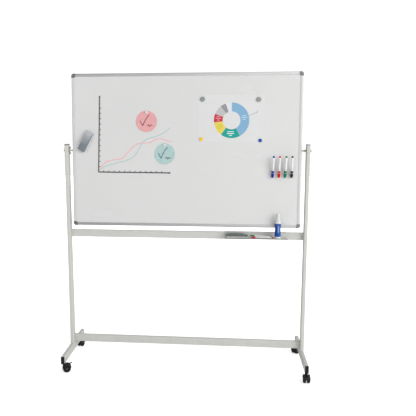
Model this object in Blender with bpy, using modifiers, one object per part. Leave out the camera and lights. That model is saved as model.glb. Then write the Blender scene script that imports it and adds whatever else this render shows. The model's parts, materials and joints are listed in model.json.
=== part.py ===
"""Mobile revolving whiteboard.

A 1500 x 1000 mm double-sided board turns end over end between two uprights of
a painted steel stand. The stand is made of rectangular tube: two uprights, an
upper and a lower cross rail, and two feet on four twin-wheel swivel casters. A
pen tray hooks over the upper rail and slides along it.

Metres, +Z up. The origin is on the floor, midway between the uprights and at
the middle of the outline from front to rear. +X is to the right of a person
facing the board, and -Y is towards that person. The pieces are laid out from
the uprights' middle plane, and moved to the origin at the end.
"""

import math

import bmesh
import bpy
from mathutils import Matrix, Vector

# --------------------------------------------------------- shared dimensions
GAP = 0.0003  # left between neighbouring solids

# board
BOARD_W = 1.500
BOARD_H = 1.000
BOARD_T = 0.017  # frame depth
PIVOT_Z = 1.455  # height of the turning axis, at the board's mid-height
BOARD_TILT = 2.6  # degrees at which the board rests, its top edge leaning back
FRAME_FACE = 0.020  # width of the frame seen from the front
FRAME_WALL = 0.0015
FRAME_LIP = 0.0032  # the lips of the frame hold the core
PANEL_INSET = 0.0083  # from the board's edge to the panel's edge
CORE_T = 0.0100
CORNER = 0.027  # side of a corner cap
CORNER_CUT = 0.0040  # slant across the inner corner of a corner cap

# rectangular tube of the stand
TUBE_WIDE = 0.050
TUBE_NARROW = 0.0225
TUBE_WALL = 0.0015

# stand
STAND_W = 1.600  # over the outer faces of the uprights
FOOT_Z0 = 0.0635
UPPER_RAIL_Z0 = 0.8695
LOWER_RAIL_Z0 = 0.1215
RAIL_Y0 = 0.0025  # front faces of the rails
CASTER_Y = 0.2180  # swivel axes, front and rear of the middle

# holes and shafts shared between pieces
STUD_HOLE_R = 0.0054
BUSH_HOLE_R = 0.0073
BOLT_R = 0.004
BOLT_HOLE_R = 0.0044
THREAD_R = 0.0050  # thread of a caster's stem

# From the uprights' middle plane to the middle of the outline, seen from above: a
# caster and its brake lever reach past the foot in front.
ORIGIN_Y = -0.0130

HALF_W = BOARD_W / 2
HALF_H = BOARD_H / 2
OUTER_X = STAND_W / 2  # outer faces of the uprights
INNER_X = STAND_W / 2 - TUBE_NARROW  # inner faces of the uprights
UPRIGHT_X = STAND_W / 2 - TUBE_NARROW / 2
FOOT_TOP = FOOT_Z0 + TUBE_WIDE
UNDER_FOOT = FOOT_Z0 - GAP  # top of what is fixed under a foot
RAIL_Y = RAIL_Y0 + TUBE_NARROW / 2
RAILS = (("upper", UPPER_RAIL_Z0 + TUBE_WIDE / 2), ("lower", LOWER_RAIL_Z0 + TUBE_WIDE / 2))

SIDES = (("left", -1), ("right", 1))  # signs of X
ENDS = (("front", -1), ("rear", 1))  # signs of Y
LEVELS = (("top", 1), ("bottom", -1))  # signs of Z
PAIR = (("a", 1), ("b", -1))  # two opposite pieces of one assembly

# finish: (base colour, roughness, metallic)
FINISHES = {
    "stand_paint": ((0.66, 0.66, 0.63), 0.45, 0.0),
    "anodised_aluminium": ((0.62, 0.63, 0.64), 0.38, 0.9),
    "enamel": ((0.80, 0.81, 0.82), 0.15, 0.0),
    "core_board": ((0.50, 0.38, 0.24), 0.9, 0.0),
    "corner_plastic": ((0.10, 0.105, 0.11), 0.5, 0.0),
    "cap_plastic": ((0.16, 0.165, 0.165), 0.5, 0.0),
    "black_plastic": ((0.012, 0.012, 0.014), 0.45, 0.0),
    "wheel_plastic": ((0.02, 0.02, 0.022), 0.55, 0.0),
    "zinc_steel": ((0.55, 0.52, 0.46), 0.35, 1.0),
    "bush_plastic": ((0.75, 0.74, 0.70), 0.5, 0.0),
    "tray_paint": ((0.62, 0.62, 0.60), 0.45, 0.0),
}
SHARP_ANGLE = math.radians(32)  # steeper edges stay sharp in smooth shading


# --------------------------------------------------------------------- scene
def clear_scene():
    for obj in list(bpy.data.objects):
        bpy.data.objects.remove(obj, do_unlink=True)


def new_collection(name):
    made = bpy.data.collections.new(name)
    bpy.context.scene.collection.children.link(made)
    return made


clear_scene()
PARTS = new_collection("rolling_whiteboard")
CUTTERS = new_collection("cutters")
CUTTERS.hide_render = True


# -------------------------------------------------------- objects and finish
def material_for(node, finish):
    colour, roughness, metallic = FINISHES[finish]
    material = bpy.data.materials.new(node + "_" + finish)
    material.use_nodes = True
    shader = material.node_tree.nodes["Principled BSDF"]
    shader.inputs["Base Color"].default_value = (*colour, 1.0)
    shader.inputs["Roughness"].default_value = roughness
    shader.inputs["Metallic"].default_value = metallic
    return material


def empty(name, location, rotation=(0.0, 0.0, 0.0), parent=None):
    """A joint's frame. Its children are placed in its own axes."""
    made = bpy.data.objects.new(name, None)
    made.empty_display_size = 0.03
    made.location = location
    made.rotation_euler = rotation
    made.parent = parent
    PARTS.objects.link(made)
    return made


def mesh_object(name, mesh, collection, parent=None, matrix=None):
    mesh.name = name
    made = bpy.data.objects.new(name, mesh)
    made.parent = parent
    if matrix is not None:
        made.matrix_local = matrix
    collection.objects.link(made)
    return made


def part(name, mesh, finish, parent=None, smooth=True):
    """A visible piece with its own material."""
    made = mesh_object(name, mesh, PARTS, parent)
    mesh.materials.append(material_for(name, finish))
    if smooth:
        mesh.shade_smooth()
        mesh.set_sharp_from_angle(angle=SHARP_ANGLE)
    return made


def boolean(target, operation, name, mesh, matrix=None):
    """Combine a piece with a hidden helper that shares its parent."""
    helper = mesh_object(name, mesh, CUTTERS, target.parent, matrix)
    helper.hide_render = True
    helper.display_type = "WIRE"
    modifier = target.modifiers.new(name, "BOOLEAN")
    modifier.operation = operation
    modifier.solver = "EXACT"
    modifier.object = helper


def cut(target, name, mesh, matrix=None):
    boolean(target, "DIFFERENCE", name, mesh, matrix)


def join(target, name, mesh):
    boolean(target, "UNION", name, mesh)


def bevel(obj):
    """The small chamfer on the edges of the moulded caps."""
    modifier = obj.modifiers.new("edges", "BEVEL")
    modifier.width = 0.0012
    modifier.segments = 1
    modifier.limit_method = "ANGLE"
    modifier.angle_limit = math.radians(60)


# -------------------------------------------------------------------- frames
def axes(u, v, w, place=(0, 0, 0)):
    """The matrix whose columns are u, v and w, moved to `place`."""
    matrix = Matrix((u, v, w)).transposed().to_4x4()
    matrix.translation = Vector(place)
    return matrix


def moved(direction, place):
    """A copy of a frame with its origin at `place`."""
    matrix = direction.copy()
    matrix.translation = Vector(place)
    return matrix


# each frame is named for the way its third axis points
PLUS_X = axes((0, 1, 0), (0, 0, 1), (1, 0, 0))
MINUS_X = axes((0, -1, 0), (0, 0, 1), (-1, 0, 0))
PLUS_Y = axes((-1, 0, 0), (0, 0, 1), (0, 1, 0))
MINUS_Y = axes((1, 0, 0), (0, 0, 1), (0, -1, 0))
PLUS_Z = axes((1, 0, 0), (0, 1, 0), (0, 0, 1))


def outward(side):
    """The frame that points away from the middle on one side of the stand."""
    return PLUS_X if side > 0 else MINUS_X


# ------------------------------------------------------------------ outlines
def arc(centre, radius, start, end, steps):
    """Points on an arc, angles in degrees."""
    angles = [math.radians(start + (end - start) * i / steps) for i in range(steps + 1)]
    return [
        (centre[0] + radius * math.cos(angle), centre[1] + radius * math.sin(angle))
        for angle in angles
    ]


def rounded_rectangle(width, height, radius):
    x, y = width / 2 - radius, height / 2 - radius
    corners = ((x, y, 0), (-x, y, 90), (-x, -y, 180), (x, -y, 270))
    return [
        point
        for u, v, start in corners
        for point in arc((u, v), radius, start, start + 90, steps=2)
    ]


def strip_outline(path, thickness):
    """The outline of a strip of sheet on the right of a path of straight runs."""
    points = [Vector(point) for point in path]
    runs = [(end - start).normalized() for start, end in zip(points, points[1:])]
    offset = []
    for point, before, after in zip(points, runs[:1] + runs, runs + runs[-1:]):
        normal = Vector((before.y, -before.x))
        mitre = (normal + Vector((after.y, -after.x))).normalized()
        offset.append(point + mitre * (thickness / mitre.dot(normal)))
    return [tuple(point) for point in points + offset[::-1]]


def shifted(profile, distance):
    """Points moved along their second coordinate."""
    return [(first, distance + second) for first, second in profile]


# -------------------------------------------------------------------- meshes
def mesh_from(bm):
    mesh = bpy.data.meshes.new("mesh")
    bm.to_mesh(mesh)
    bm.free()
    return mesh


def box_mesh(low, high):
    bm = bmesh.new()
    low, high = Vector(low), Vector(high)
    bmesh.ops.create_cube(bm, size=1.0)
    bmesh.ops.scale(bm, vec=high - low, verts=bm.verts)
    bmesh.ops.translate(bm, vec=(high + low) / 2, verts=bm.verts)
    return mesh_from(bm)


def mirrored_box_mesh(low, high, signs, place=(0, 0, 0)):
    """A box mirrored across the planes whose sign is -1, then moved to `place`."""
    mesh = box_mesh(low, high)
    mesh.transform(Matrix.Translation(place) @ Matrix.Diagonal((*signs, 1)))
    if math.prod(signs) < 0:
        mesh.flip_normals()
    return mesh


def rod_mesh(radius, start, end, direction, segments):
    """A cylinder along a frame's third axis, from start to end."""
    bm = bmesh.new()
    bmesh.ops.create_cone(
        bm, cap_ends=True, segments=segments, radius1=radius, radius2=radius,
        depth=end - start,
    )
    bmesh.ops.translate(bm, vec=(0, 0, (start + end) / 2), verts=bm.verts)
    bmesh.ops.transform(bm, matrix=direction, verts=bm.verts)
    return mesh_from(bm)


def evaluated_mesh(holder):
    """A temporary object's mesh with its modifiers applied. The object is removed."""
    graph = bpy.context.evaluated_depsgraph_get()
    mesh = bpy.data.meshes.new_from_object(holder.evaluated_get(graph))
    bpy.data.objects.remove(holder, do_unlink=True)
    return mesh


def reframe(mesh, direction, merge_distance=None):
    """Turn a mesh into a frame and make its normals point outwards."""
    bm = bmesh.new()
    bm.from_mesh(mesh)
    if merge_distance:
        bmesh.ops.remove_doubles(bm, verts=bm.verts, dist=merge_distance)
    bmesh.ops.transform(bm, matrix=direction, verts=bm.verts)
    bmesh.ops.recalc_face_normals(bm, faces=bm.faces)
    bm.to_mesh(mesh)
    bm.free()


def prism_mesh(outline, length, direction):
    """A closed outline filled and extruded along a frame's third axis, centred on it."""
    curve = bpy.data.curves.new("outline", "CURVE")
    curve.dimensions = "2D"
    curve.fill_mode = "BOTH"
    curve.extrude = length / 2
    spline = curve.splines.new("POLY")
    spline.points.add(len(outline) - 1)
    for point, (u, v) in zip(spline.points, outline):
        point.co = (u, v, 0.0, 1.0)
    spline.use_cyclic_u = True
    holder = bpy.data.objects.new("outline", curve)
    bpy.context.scene.collection.objects.link(holder)
    mesh = evaluated_mesh(holder)
    bpy.data.curves.remove(curve)
    reframe(mesh, direction, merge_distance=0.00002)
    return mesh


def spun(name, profile, matrix, parent, steps):
    """An object whose (radius, height) profile is spun about its frame's third axis.
    The profile's ends lie on the axis, or are joined to each other."""
    bm = bmesh.new()
    points = [bm.verts.new((radius, 0.0, height)) for radius, height in profile]
    for start, end in zip(points, points[1:]):
        bm.edges.new((start, end))
    if profile[0][0] > 0 and profile[-1][0] > 0:
        bm.edges.new((points[-1], points[0]))
    made = mesh_object(name, mesh_from(bm), PARTS, parent, matrix)
    screw = made.modifiers.new("spin", "SCREW")
    screw.axis = "Z"
    screw.steps = screw.render_steps = steps
    screw.use_merge_vertices = True
    screw.merge_threshold = 0.00001
    screw.use_smooth_shade = True
    return made


def turned(name, profile, finish, matrix, parent=None, *, steps):
    """A visible turned piece."""
    made = spun(name, profile, matrix, parent, steps)
    made.data.materials.append(material_for(name, finish))


def turned_mesh(profile, direction, steps):
    """A turned shape as a mesh, for joining and cutting."""
    mesh = evaluated_mesh(spun("profile", profile, direction, None, steps))
    reframe(mesh, direction)
    return mesh


# -------------------------------------------------------------------- joints
BOARD_AXIS = empty("board_axis", (0, 0, PIVOT_Z), (-math.radians(BOARD_TILT), 0.0, 0.0))
BUSH_AXIS = empty("bush_axis", (0, 0, PIVOT_Z))

# --------------------------------------------------------------------- board
SHEET_T = 0.0007
FRAME_ROUND = 0.0045
FRAME_HOLE_IN = 0.012  # reach of the stud hole's cutter inside the board's edge
FRAME_HOLE_OUT = 0.01  # and outside it
CORNER_ROUND = 0.017
CORNER_PROUD = 0.0006
TENON_LENGTH = 0.022
TENON_ROOT = 0.006  # length of a tenon inside its cap
SLOT_REACH = 0.2  # the slot's cutter runs well past the cap
SLOT_OVERLAP = 0.0001  # of the slot's cutter past the panel's edge


def build_core():
    x, z = HALF_W - PANEL_INSET, HALF_H - PANEL_INSET
    mesh = box_mesh((-x, -CORE_T / 2, -z), (x, CORE_T / 2, z))
    part("panel_core", mesh, "core_board", BOARD_AXIS, smooth=False)


def build_writing_surfaces():
    """A sheet on each face of the core, inside the opening of the frame and corner caps."""
    x, z = HALF_W - FRAME_FACE - GAP, HALF_H - FRAME_FACE - GAP
    # the sheet's corners are cut to clear the slants of the corner caps
    slant = CORNER_CUT + math.sqrt(2) * GAP
    outline = [
        (x, z - slant), (x - slant, z), (-x + slant, z), (-x, z - slant),
        (-x, -z + slant), (-x + slant, -z), (x - slant, -z), (x, -z + slant),
    ]
    for end_name, end in ENDS:
        middle = end * (CORE_T / 2 + GAP + SHEET_T / 2)
        sheet = prism_mesh(outline, SHEET_T, moved(MINUS_Y, (0, middle, 0)))
        part("writing_surface_" + end_name, sheet, "enamel", BOARD_AXIS, smooth=False)


def frame_channel():
    """Section of the frame: u runs outwards to the board's edge at 0, v across the
    board's thickness."""
    half = BOARD_T / 2
    inside = half - FRAME_LIP
    return (
        arc((-FRAME_ROUND, half - FRAME_ROUND), FRAME_ROUND, 90, 0, steps=3)
        + arc((-FRAME_ROUND, -half + FRAME_ROUND), FRAME_ROUND, 0, -90, steps=3)
        + [(-FRAME_FACE, -half), (-FRAME_FACE, -inside)]
        + [(-FRAME_WALL, -inside), (-FRAME_WALL, inside)]
        + [(-FRAME_FACE, inside), (-FRAME_FACE, half)]
    )


def build_frame():
    across = 2 * (HALF_W - CORNER - GAP)
    up = 2 * (HALF_H - CORNER - GAP)
    # u outwards, v across the thickness, w along the profile
    for name, sign in LEVELS:
        direction = axes((0, 0, sign), (0, 1, 0), (-sign, 0, 0), (0, 0, sign * HALF_H))
        mesh = prism_mesh(frame_channel(), across, direction)
        part("frame_" + name, mesh, "anodised_aluminium", BOARD_AXIS)
    for name, side in SIDES:
        direction = axes((side, 0, 0), (0, 1, 0), (0, 0, side), (side * HALF_W, 0, 0))
        mesh = prism_mesh(frame_channel(), up, direction)
        profile = part("frame_" + name, mesh, "anodised_aluminium", BOARD_AXIS)
        start, end = HALF_W - FRAME_HOLE_IN, HALF_W + FRAME_HOLE_OUT
        hole = rod_mesh(STUD_HOLE_R, start, end, PLUS_X, segments=24)
        cut(profile, "stud_hole_" + name, hole, Matrix.Scale(side, 4, (1, 0, 0)))


def corner_outline():
    """An elbow flush with the frame's opening, with a slant across its inner corner.
    The board's corner is at 0, and both axes point outwards."""
    centre = CORNER_PROUD - CORNER_ROUND
    return (
        [(-FRAME_FACE, -CORNER), (CORNER_PROUD, -CORNER)]
        + arc((centre, centre), CORNER_ROUND, 0, 90, steps=6)
        + [(-CORNER, CORNER_PROUD), (-CORNER, -FRAME_FACE)]
        + [(-FRAME_FACE - CORNER_CUT, -FRAME_FACE), (-FRAME_FACE, -FRAME_FACE - CORNER_CUT)]
    )


def build_corner(node, x_sign, z_sign):
    """A rounded elbow that wraps the panel's corner, with a tenon into each frame profile."""
    signs = (x_sign, 1, z_sign)
    place = (x_sign * HALF_W, 0, z_sign * HALF_H)
    direction = axes((x_sign, 0, 0), (0, 0, z_sign), (0, -x_sign * z_sign, 0), place)
    mesh = prism_mesh(corner_outline(), 2 * (BOARD_T / 2 + CORNER_PROUD), direction)
    cap = part(node, mesh, "corner_plastic", BOARD_AXIS)
    bevel(cap)
    # the tenons lie between the panel's edge and the frame's outer wall
    low, high = -PANEL_INSET + GAP, -FRAME_WALL - GAP
    tip, root = -CORNER - TENON_LENGTH, -CORNER + TENON_ROOT
    half = BOARD_T / 2 - FRAME_LIP - GAP
    tenon = mirrored_box_mesh((tip, -half, low), (root, half, high), signs, place)
    join(cap, node + "_tenon_x", tenon)
    tenon = mirrored_box_mesh((low, -half, tip), (high, half, root), signs, place)
    join(cap, node + "_tenon_z", tenon)
    # the slot that holds the core's corner
    half = CORE_T / 2 + GAP
    edge = -PANEL_INSET + SLOT_OVERLAP
    slot = mirrored_box_mesh(
        (-SLOT_REACH, -half, -SLOT_REACH), (edge, half, edge), signs, place
    )
    cut(cap, node + "_slot", slot)


def build_board():
    build_core()
    build_writing_surfaces()
    build_frame()
    for level_name, z_sign in LEVELS:
        for side_name, x_sign in SIDES:
            build_corner(f"corner_cap_{level_name}_{side_name}", x_sign, z_sign)


# -------------------------------------------------------------------- pivots
STUD_R = 0.005
STUD_REACH = 0.0072  # of the stud past the upright
STUD_ROOT = 0.001  # from the plate's inner face to the shaft's inner end
PLATE_HALF_Y = 0.0050
PLATE_HALF_Z = 0.018

BUSH_R = 0.0070
BUSH_RECESS = 0.0002  # of the bush's end inside the upright's outer face
BUSH_FLANGE_R = 0.0100
BUSH_FLANGE_T = 0.0014
FLANGE_X = INNER_X - GAP - BUSH_FLANGE_T  # face of the flange towards the board

CAP_NUT_X = OUTER_X + GAP + 0.0002  # inner face of the cap nut
CAP_NUT_ACROSS = 0.0170  # across the flats
CAP_NUT_T = 0.0068  # hexagonal part
CAP_NUT_BORE = 0.0078  # end of the bore, past the upright
DOME_R = 0.0076
DOME_RISE = 0.0052
DOME_CENTRE = 0.0060  # centre and base of the dome, from the nut's inner face
DOME_BASE = 0.0040

WING_NUT_T = 0.0100
WING_SPAN = 0.052
WING_T = 0.0030
# (radius, distance outwards from the clamping face)
WING_HUB = (
    (0, 0), (0.0095, 0), (0.0095, -0.002),
    (0.0078, 0.001 - WING_NUT_T), (0.0072, -WING_NUT_T), (0, -WING_NUT_T),
)
# one wing, in the same coordinates
WING = (
    [(0.002, -0.0033), (0.0075, -0.0036), (WING_SPAN / 2 - 0.007, -0.0020)]
    + arc((WING_SPAN / 2 - 0.0065, -0.0078), 0.0062, 70, -75, steps=4)
    + [(WING_SPAN / 2 - 0.013, -0.0118), (0.0085, -0.0048), (0.002, -0.0046)]
)


def build_stud(name, side):
    """A plate that lies in the frame's channel, and a shaft through the upright."""
    plate_in, plate_out = HALF_W - PANEL_INSET + GAP, HALF_W - FRAME_WALL - GAP
    shaft = rod_mesh(
        STUD_R, plate_in + STUD_ROOT, OUTER_X + STUD_REACH, outward(side), segments=16
    )
    stud = part("pivot_stud_" + name, shaft, "zinc_steel", BOARD_AXIS)
    plate = mirrored_box_mesh(
        (plate_in, -PLATE_HALF_Y, -PLATE_HALF_Z), (plate_out, PLATE_HALF_Y, PLATE_HALF_Z),
        (side, 1, 1),
    )
    join(stud, "stud_plate_" + name, plate)


def build_cap_nut(name, side):
    """The domed nut on the outer end of the stud."""
    direction = outward(side)
    hexagon = rod_mesh(
        CAP_NUT_ACROSS / math.sqrt(3), CAP_NUT_X, CAP_NUT_X + CAP_NUT_T, direction, segments=6
    )
    nut = part("cap_nut_" + name, hexagon, "zinc_steel", BOARD_AXIS)
    profile = [
        (DOME_R * math.sin(angle), DOME_CENTRE + DOME_RISE * math.cos(angle))
        for angle in map(math.radians, (0, 30, 60))
    ]
    profile += [(DOME_R, DOME_BASE), (0, DOME_BASE)]
    dome = turned_mesh(shifted(profile, CAP_NUT_X), direction, steps=14)
    join(nut, "cap_nut_dome_" + name, dome)
    bore = rod_mesh(
        STUD_HOLE_R, CAP_NUT_X - 0.003, OUTER_X + CAP_NUT_BORE, direction, segments=16
    )
    cut(nut, "cap_nut_bore_" + name, bore)


def build_bush(name, side):
    """Plastic bush in the upright, with a flange on the inner face."""
    tip = OUTER_X - BUSH_RECESS
    profile = [
        (BUSH_R, tip), (BUSH_R, INNER_X - GAP),
        (BUSH_FLANGE_R, INNER_X - GAP), (BUSH_FLANGE_R, FLANGE_X),
        (STUD_HOLE_R, FLANGE_X), (STUD_HOLE_R, tip),
    ]
    turned(
        "pivot_bush_" + name, profile, "bush_plastic", outward(side), BUSH_AXIS, steps=20
    )


def build_wing_nut(name, side):
    """The wing nut between the board and the upright, clamping outwards."""
    direction = outward(side)
    face = FLANGE_X - GAP
    hub = turned_mesh(shifted(WING_HUB, face), direction, steps=16)
    nut = part("wing_nut_" + name, hub, "zinc_steel", BOARD_AXIS)
    # the left nut's wings stand up and down, the right nut's to front and rear
    radial = Vector((0, 0, 1)) if side < 0 else Vector((0, -1, 0))
    along = Vector((side, 0, 0))
    for label, sign in PAIR:
        u = radial * sign
        wing = prism_mesh(shifted(WING, face), WING_T, axes(u, along, u.cross(along)))
        join(nut, f"wing_{label}_{name}", wing)
    bore = rod_mesh(
        STUD_HOLE_R, face - WING_NUT_T - 0.02, face + 0.02, direction, segments=16
    )
    cut(nut, "wing_nut_bore_" + name, bore)


def build_pivots():
    for name, side in SIDES:
        build_stud(name, side)
        build_cap_nut(name, side)
        build_bush(name, side)
        build_wing_nut(name, side)


# --------------------------------------------------------------------- stand
TUBE_ROUND = 0.003
TUBE_INNER_ROUND = TUBE_ROUND - TUBE_WALL + 0.0002
UPRIGHT_TOP = 1.4895
UPRIGHT_PLATE = 0.004  # welded plate that closes the upright's lower end
UPRIGHT_BASE = FOOT_TOP + GAP
END_PLATE = 0.003  # closes each end of a rail
RAIL_HALF = INNER_X - GAP
RAIL_HOLE_REACH = 0.012  # of a hole's cutter to each side of the rail's end
FOOT_LENGTH = 0.490  # with its end caps

CAP_PROUD = 0.0006
CAP_T = 0.0080  # caps of the uprights
FOOT_CAP_T = 0.0060  # caps of the feet, with the gap behind them
PLUG_CLEARANCE = 0.0014  # from the tube's inner wall to a cap's plug
PLUG_X = TUBE_NARROW / 2 - TUBE_WALL - PLUG_CLEARANCE
PLUG_WIDE = TUBE_WIDE / 2 - TUBE_WALL - PLUG_CLEARANCE
PLUG_ROOT = 0.003  # length of a plug inside its cap
UPRIGHT_PLUG = 0.012
FOOT_PLUG = 0.010

RAIL_BOLT_LENGTH = 0.014  # past the rail's end
# button head: (radius, distance outwards from the seat)
RAIL_BOLT_HEAD = (
    (0, 0.0036), (0.0035, 0.0034), (0.0058, 0.0024), (0.0070, 0.0010), (0.0070, 0),
)
FOOT_BOLT_LENGTH = 0.014  # above the foot
# chamfered head: (radius, height from the foot's underside)
FOOT_BOLT_HEAD = ((0.0068, 0), (0.0068, -0.0040), (0.0060, -0.0048), (0, -0.0048))


def tube(node, length, matrix, hollow_length, hollow_matrix):
    """A rectangular tube, its narrow side along u, made solid with its inside cut away."""
    outer = rounded_rectangle(TUBE_NARROW, TUBE_WIDE, TUBE_ROUND)
    inner = rounded_rectangle(
        TUBE_NARROW - 2 * TUBE_WALL, TUBE_WIDE - 2 * TUBE_WALL, TUBE_INNER_ROUND
    )
    made = part(node, prism_mesh(outer, length, matrix), "stand_paint")
    cut(made, node + "_hollow", prism_mesh(inner, hollow_length, hollow_matrix))
    return made


def end_cap(node, finish, thickness, matrix):
    """The outer plate of a cap that closes a tube."""
    outline = rounded_rectangle(
        TUBE_NARROW + 2 * CAP_PROUD, TUBE_WIDE + 2 * CAP_PROUD, TUBE_ROUND + CAP_PROUD
    )
    cap = part(node, prism_mesh(outline, thickness, matrix), finish)
    bevel(cap)
    return cap


def build_upright(name, x):
    node = "upright_" + name
    inside = UPRIGHT_BASE + UPRIGHT_PLATE
    open_top = UPRIGHT_TOP + 0.05  # the hollow's cutter runs out of the top
    body = tube(
        node,
        UPRIGHT_TOP - UPRIGHT_BASE, moved(PLUS_Z, (x, 0, (UPRIGHT_BASE + UPRIGHT_TOP) / 2)),
        open_top - inside, moved(PLUS_Z, (x, 0, (open_top + inside) / 2)),
    )
    reach = TUBE_NARROW
    hole = rod_mesh(BUSH_HOLE_R, -reach, reach, moved(PLUS_X, (x, 0, PIVOT_Z)), segments=16)
    cut(body, node + "_pivot_hole", hole)
    for label, z in RAILS:
        place = moved(PLUS_X, (x, RAIL_Y, z))
        hole = rod_mesh(BOLT_HOLE_R, -reach, reach, place, segments=12)
        cut(body, f"{node}_{label}_bolt_hole", hole)
    place = moved(PLUS_Z, (x, 0, UPRIGHT_BASE))
    hole = rod_mesh(BOLT_HOLE_R, -0.02, 0.02, place, segments=12)
    cut(body, node + "_foot_bolt_hole", hole)


def build_upright_cap(name, x):
    z = UPRIGHT_TOP + GAP
    cap = end_cap(
        "upright_cap_" + name, "cap_plastic", CAP_T, moved(PLUS_Z, (x, 0, z + CAP_T / 2))
    )
    plug = box_mesh(
        (x - PLUG_X, -PLUG_WIDE, z - UPRIGHT_PLUG), (x + PLUG_X, PLUG_WIDE, z + PLUG_ROOT)
    )
    join(cap, "upright_plug_" + name, plug)


def build_rail(name, z):
    """A cross rail with a holed plate closing each end, and the bolts into those plates."""
    node = name + "_rail"
    middle = moved(PLUS_X, (0, RAIL_Y, z))
    rail = tube(node, 2 * RAIL_HALF, middle, 2 * (RAIL_HALF - END_PLATE), middle)
    for label, side in SIDES:
        place = moved(outward(side), (0, RAIL_Y, z))
        start, end = RAIL_HALF - RAIL_HOLE_REACH, RAIL_HALF + RAIL_HOLE_REACH
        cut(rail, f"{node}_hole_{label}", rod_mesh(BOLT_HOLE_R, start, end, place, segments=12))
        # button-head bolt from outside the upright into the end plate
        seat, tip = OUTER_X + GAP, RAIL_HALF - RAIL_BOLT_LENGTH
        profile = shifted(RAIL_BOLT_HEAD, seat) + [(BOLT_R, seat), (BOLT_R, tip), (0, tip)]
        turned(f"rail_bolt_{name}_{label}", profile, "zinc_steel", place, steps=14)


def build_foot(name, x):
    node = "foot_" + name
    half = FOOT_LENGTH / 2 - FOOT_CAP_T
    z = FOOT_Z0 + TUBE_WIDE / 2
    lengthways = moved(MINUS_Y, (x, 0, z))
    foot = tube(node, 2 * half, lengthways, 2 * half + 0.02, lengthways)
    for label, end in ENDS:
        place = moved(PLUS_Z, (x, end * CASTER_Y, FOOT_Z0))
        hole = rod_mesh(THREAD_R + 0.0004, -0.01, 0.01, place, segments=16)
        cut(foot, f"{node}_{label}_stem_hole", hole)
    hole = rod_mesh(BOLT_HOLE_R, -0.06, 0.06, moved(PLUS_Z, (x, 0, z)), segments=12)
    cut(foot, node + "_bolt_hole", hole)
    for label, end in ENDS:
        build_foot_cap(f"foot_cap_{label}_{name}", x, z, end, half + GAP)


def build_foot_cap(node, x, z, end, start):
    """A cap on the front or rear end of a foot, its inner face `start` from the middle."""
    thickness = FOOT_CAP_T - GAP
    place = moved(MINUS_Y, (x, end * (start + thickness / 2), z))
    cap = end_cap(node, "black_plastic", thickness, place)
    low, high = sorted((end * (start - FOOT_PLUG), end * (start + PLUG_ROOT)))
    plug = box_mesh((x - PLUG_X, low, z - PLUG_WIDE), (x + PLUG_X, high, z + PLUG_WIDE))
    join(cap, node + "_plug", plug)


def build_foot_bolt(name, x):
    """The bolt from below through the foot into the upright's end plate."""
    tip = FOOT_TOP + FOOT_BOLT_LENGTH
    profile = [(0, tip), (BOLT_R, tip), (BOLT_R, UNDER_FOOT)]
    profile += shifted(FOOT_BOLT_HEAD, UNDER_FOOT)
    turned("foot_bolt_" + name, profile, "zinc_steel", moved(PLUS_Z, (x, 0, 0)), steps=14)


def build_stand():
    for name, side in SIDES:
        x = side * UPRIGHT_X
        build_upright(name, x)
        build_upright_cap(name, x)
        build_foot(name, x)
        build_foot_bolt(name, x)
    for name, z in RAILS:
        build_rail(name, z)


# ------------------------------------------------------------------ pen tray
TRAY_X0 = 0.262
TRAY_X1 = 0.668
TRAY_T = 0.0015
TRAY_FLOOR_Z = 0.8890  # underside of the floor
TRAY_FRONT_Y = -0.0800
TRAY_LIP = 0.0065
TRAY_HOOK = 0.010  # depth of the hook behind the rail


def build_tray():
    """One bent strip, hooked over the rail and open at both ends."""
    rail_top = UPPER_RAIL_Z0 + TUBE_WIDE
    front = RAIL_Y0 - GAP
    rear = RAIL_Y0 + TUBE_NARROW + GAP
    # (y, z) along the face next to the rail, then the underside and the lip's front
    path = [
        (rear, rail_top - TRAY_HOOK),
        (rear, rail_top + GAP),
        (front, rail_top + GAP),
        (front, TRAY_FLOOR_Z),
        (TRAY_FRONT_Y, TRAY_FLOOR_Z),
        (TRAY_FRONT_Y, TRAY_FLOOR_Z + TRAY_LIP),
    ]
    place = moved(PLUS_X, ((TRAY_X0 + TRAY_X1) / 2, 0, 0))
    mesh = prism_mesh(strip_outline(path, TRAY_T), TRAY_X1 - TRAY_X0, place)
    part("pen_tray", mesh, "tray_paint")


# ------------------------------------------------------------------- casters
# Each caster is laid out in its swivel's frame, trailing towards +X.
CASTER_TURN = {  # direction of each caster's trail, in degrees from +X
    "front_left": 19.0,
    "front_right": -90.0,
    "rear_left": -99.0,
    "rear_right": -127.0,
}
BRAKED = ("front_left", "front_right")

WHEEL_R = 0.0250
WHEEL_W = 0.0165
WHEEL_GAP = 0.0090  # between the two wheels, where the web of the hood runs
TRAIL = 0.0180  # from the swivel axis to the axle
AXLE_R = 0.0030
AXLE_SHORT = 0.0050  # from the axle's end to the wheel's outer face
BORE_CLEARANCE = 0.0003

STEM_R = 0.0040  # pin that the hood turns on
PIN_Z0 = 0.0400
THREAD_LENGTH = 0.018  # inside the foot
HEXAGON_R = 0.0080
HEXAGON_T = 0.0038

HOOD_R = 0.0290
HOOD_T = 0.0024
HOOD_W = 0.0430
HOOD_TOP = WHEEL_R + HOOD_R
WEB_T = WHEEL_GAP - 0.0016
BOSS_R = 0.0088
BOSS_Z0 = 0.0362
BOSS_DROP = 0.0042  # from the foot to the boss
STEM_BORE_Z0 = 0.0385
ABOVE_HOOD = 0.09  # where the cutters stop above the hood
WHEEL_ROOM = 0.0010  # around a wheel's tread
WHEEL_SIDE_ROOM = 0.0006  # beside a wheel's inner face

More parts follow.
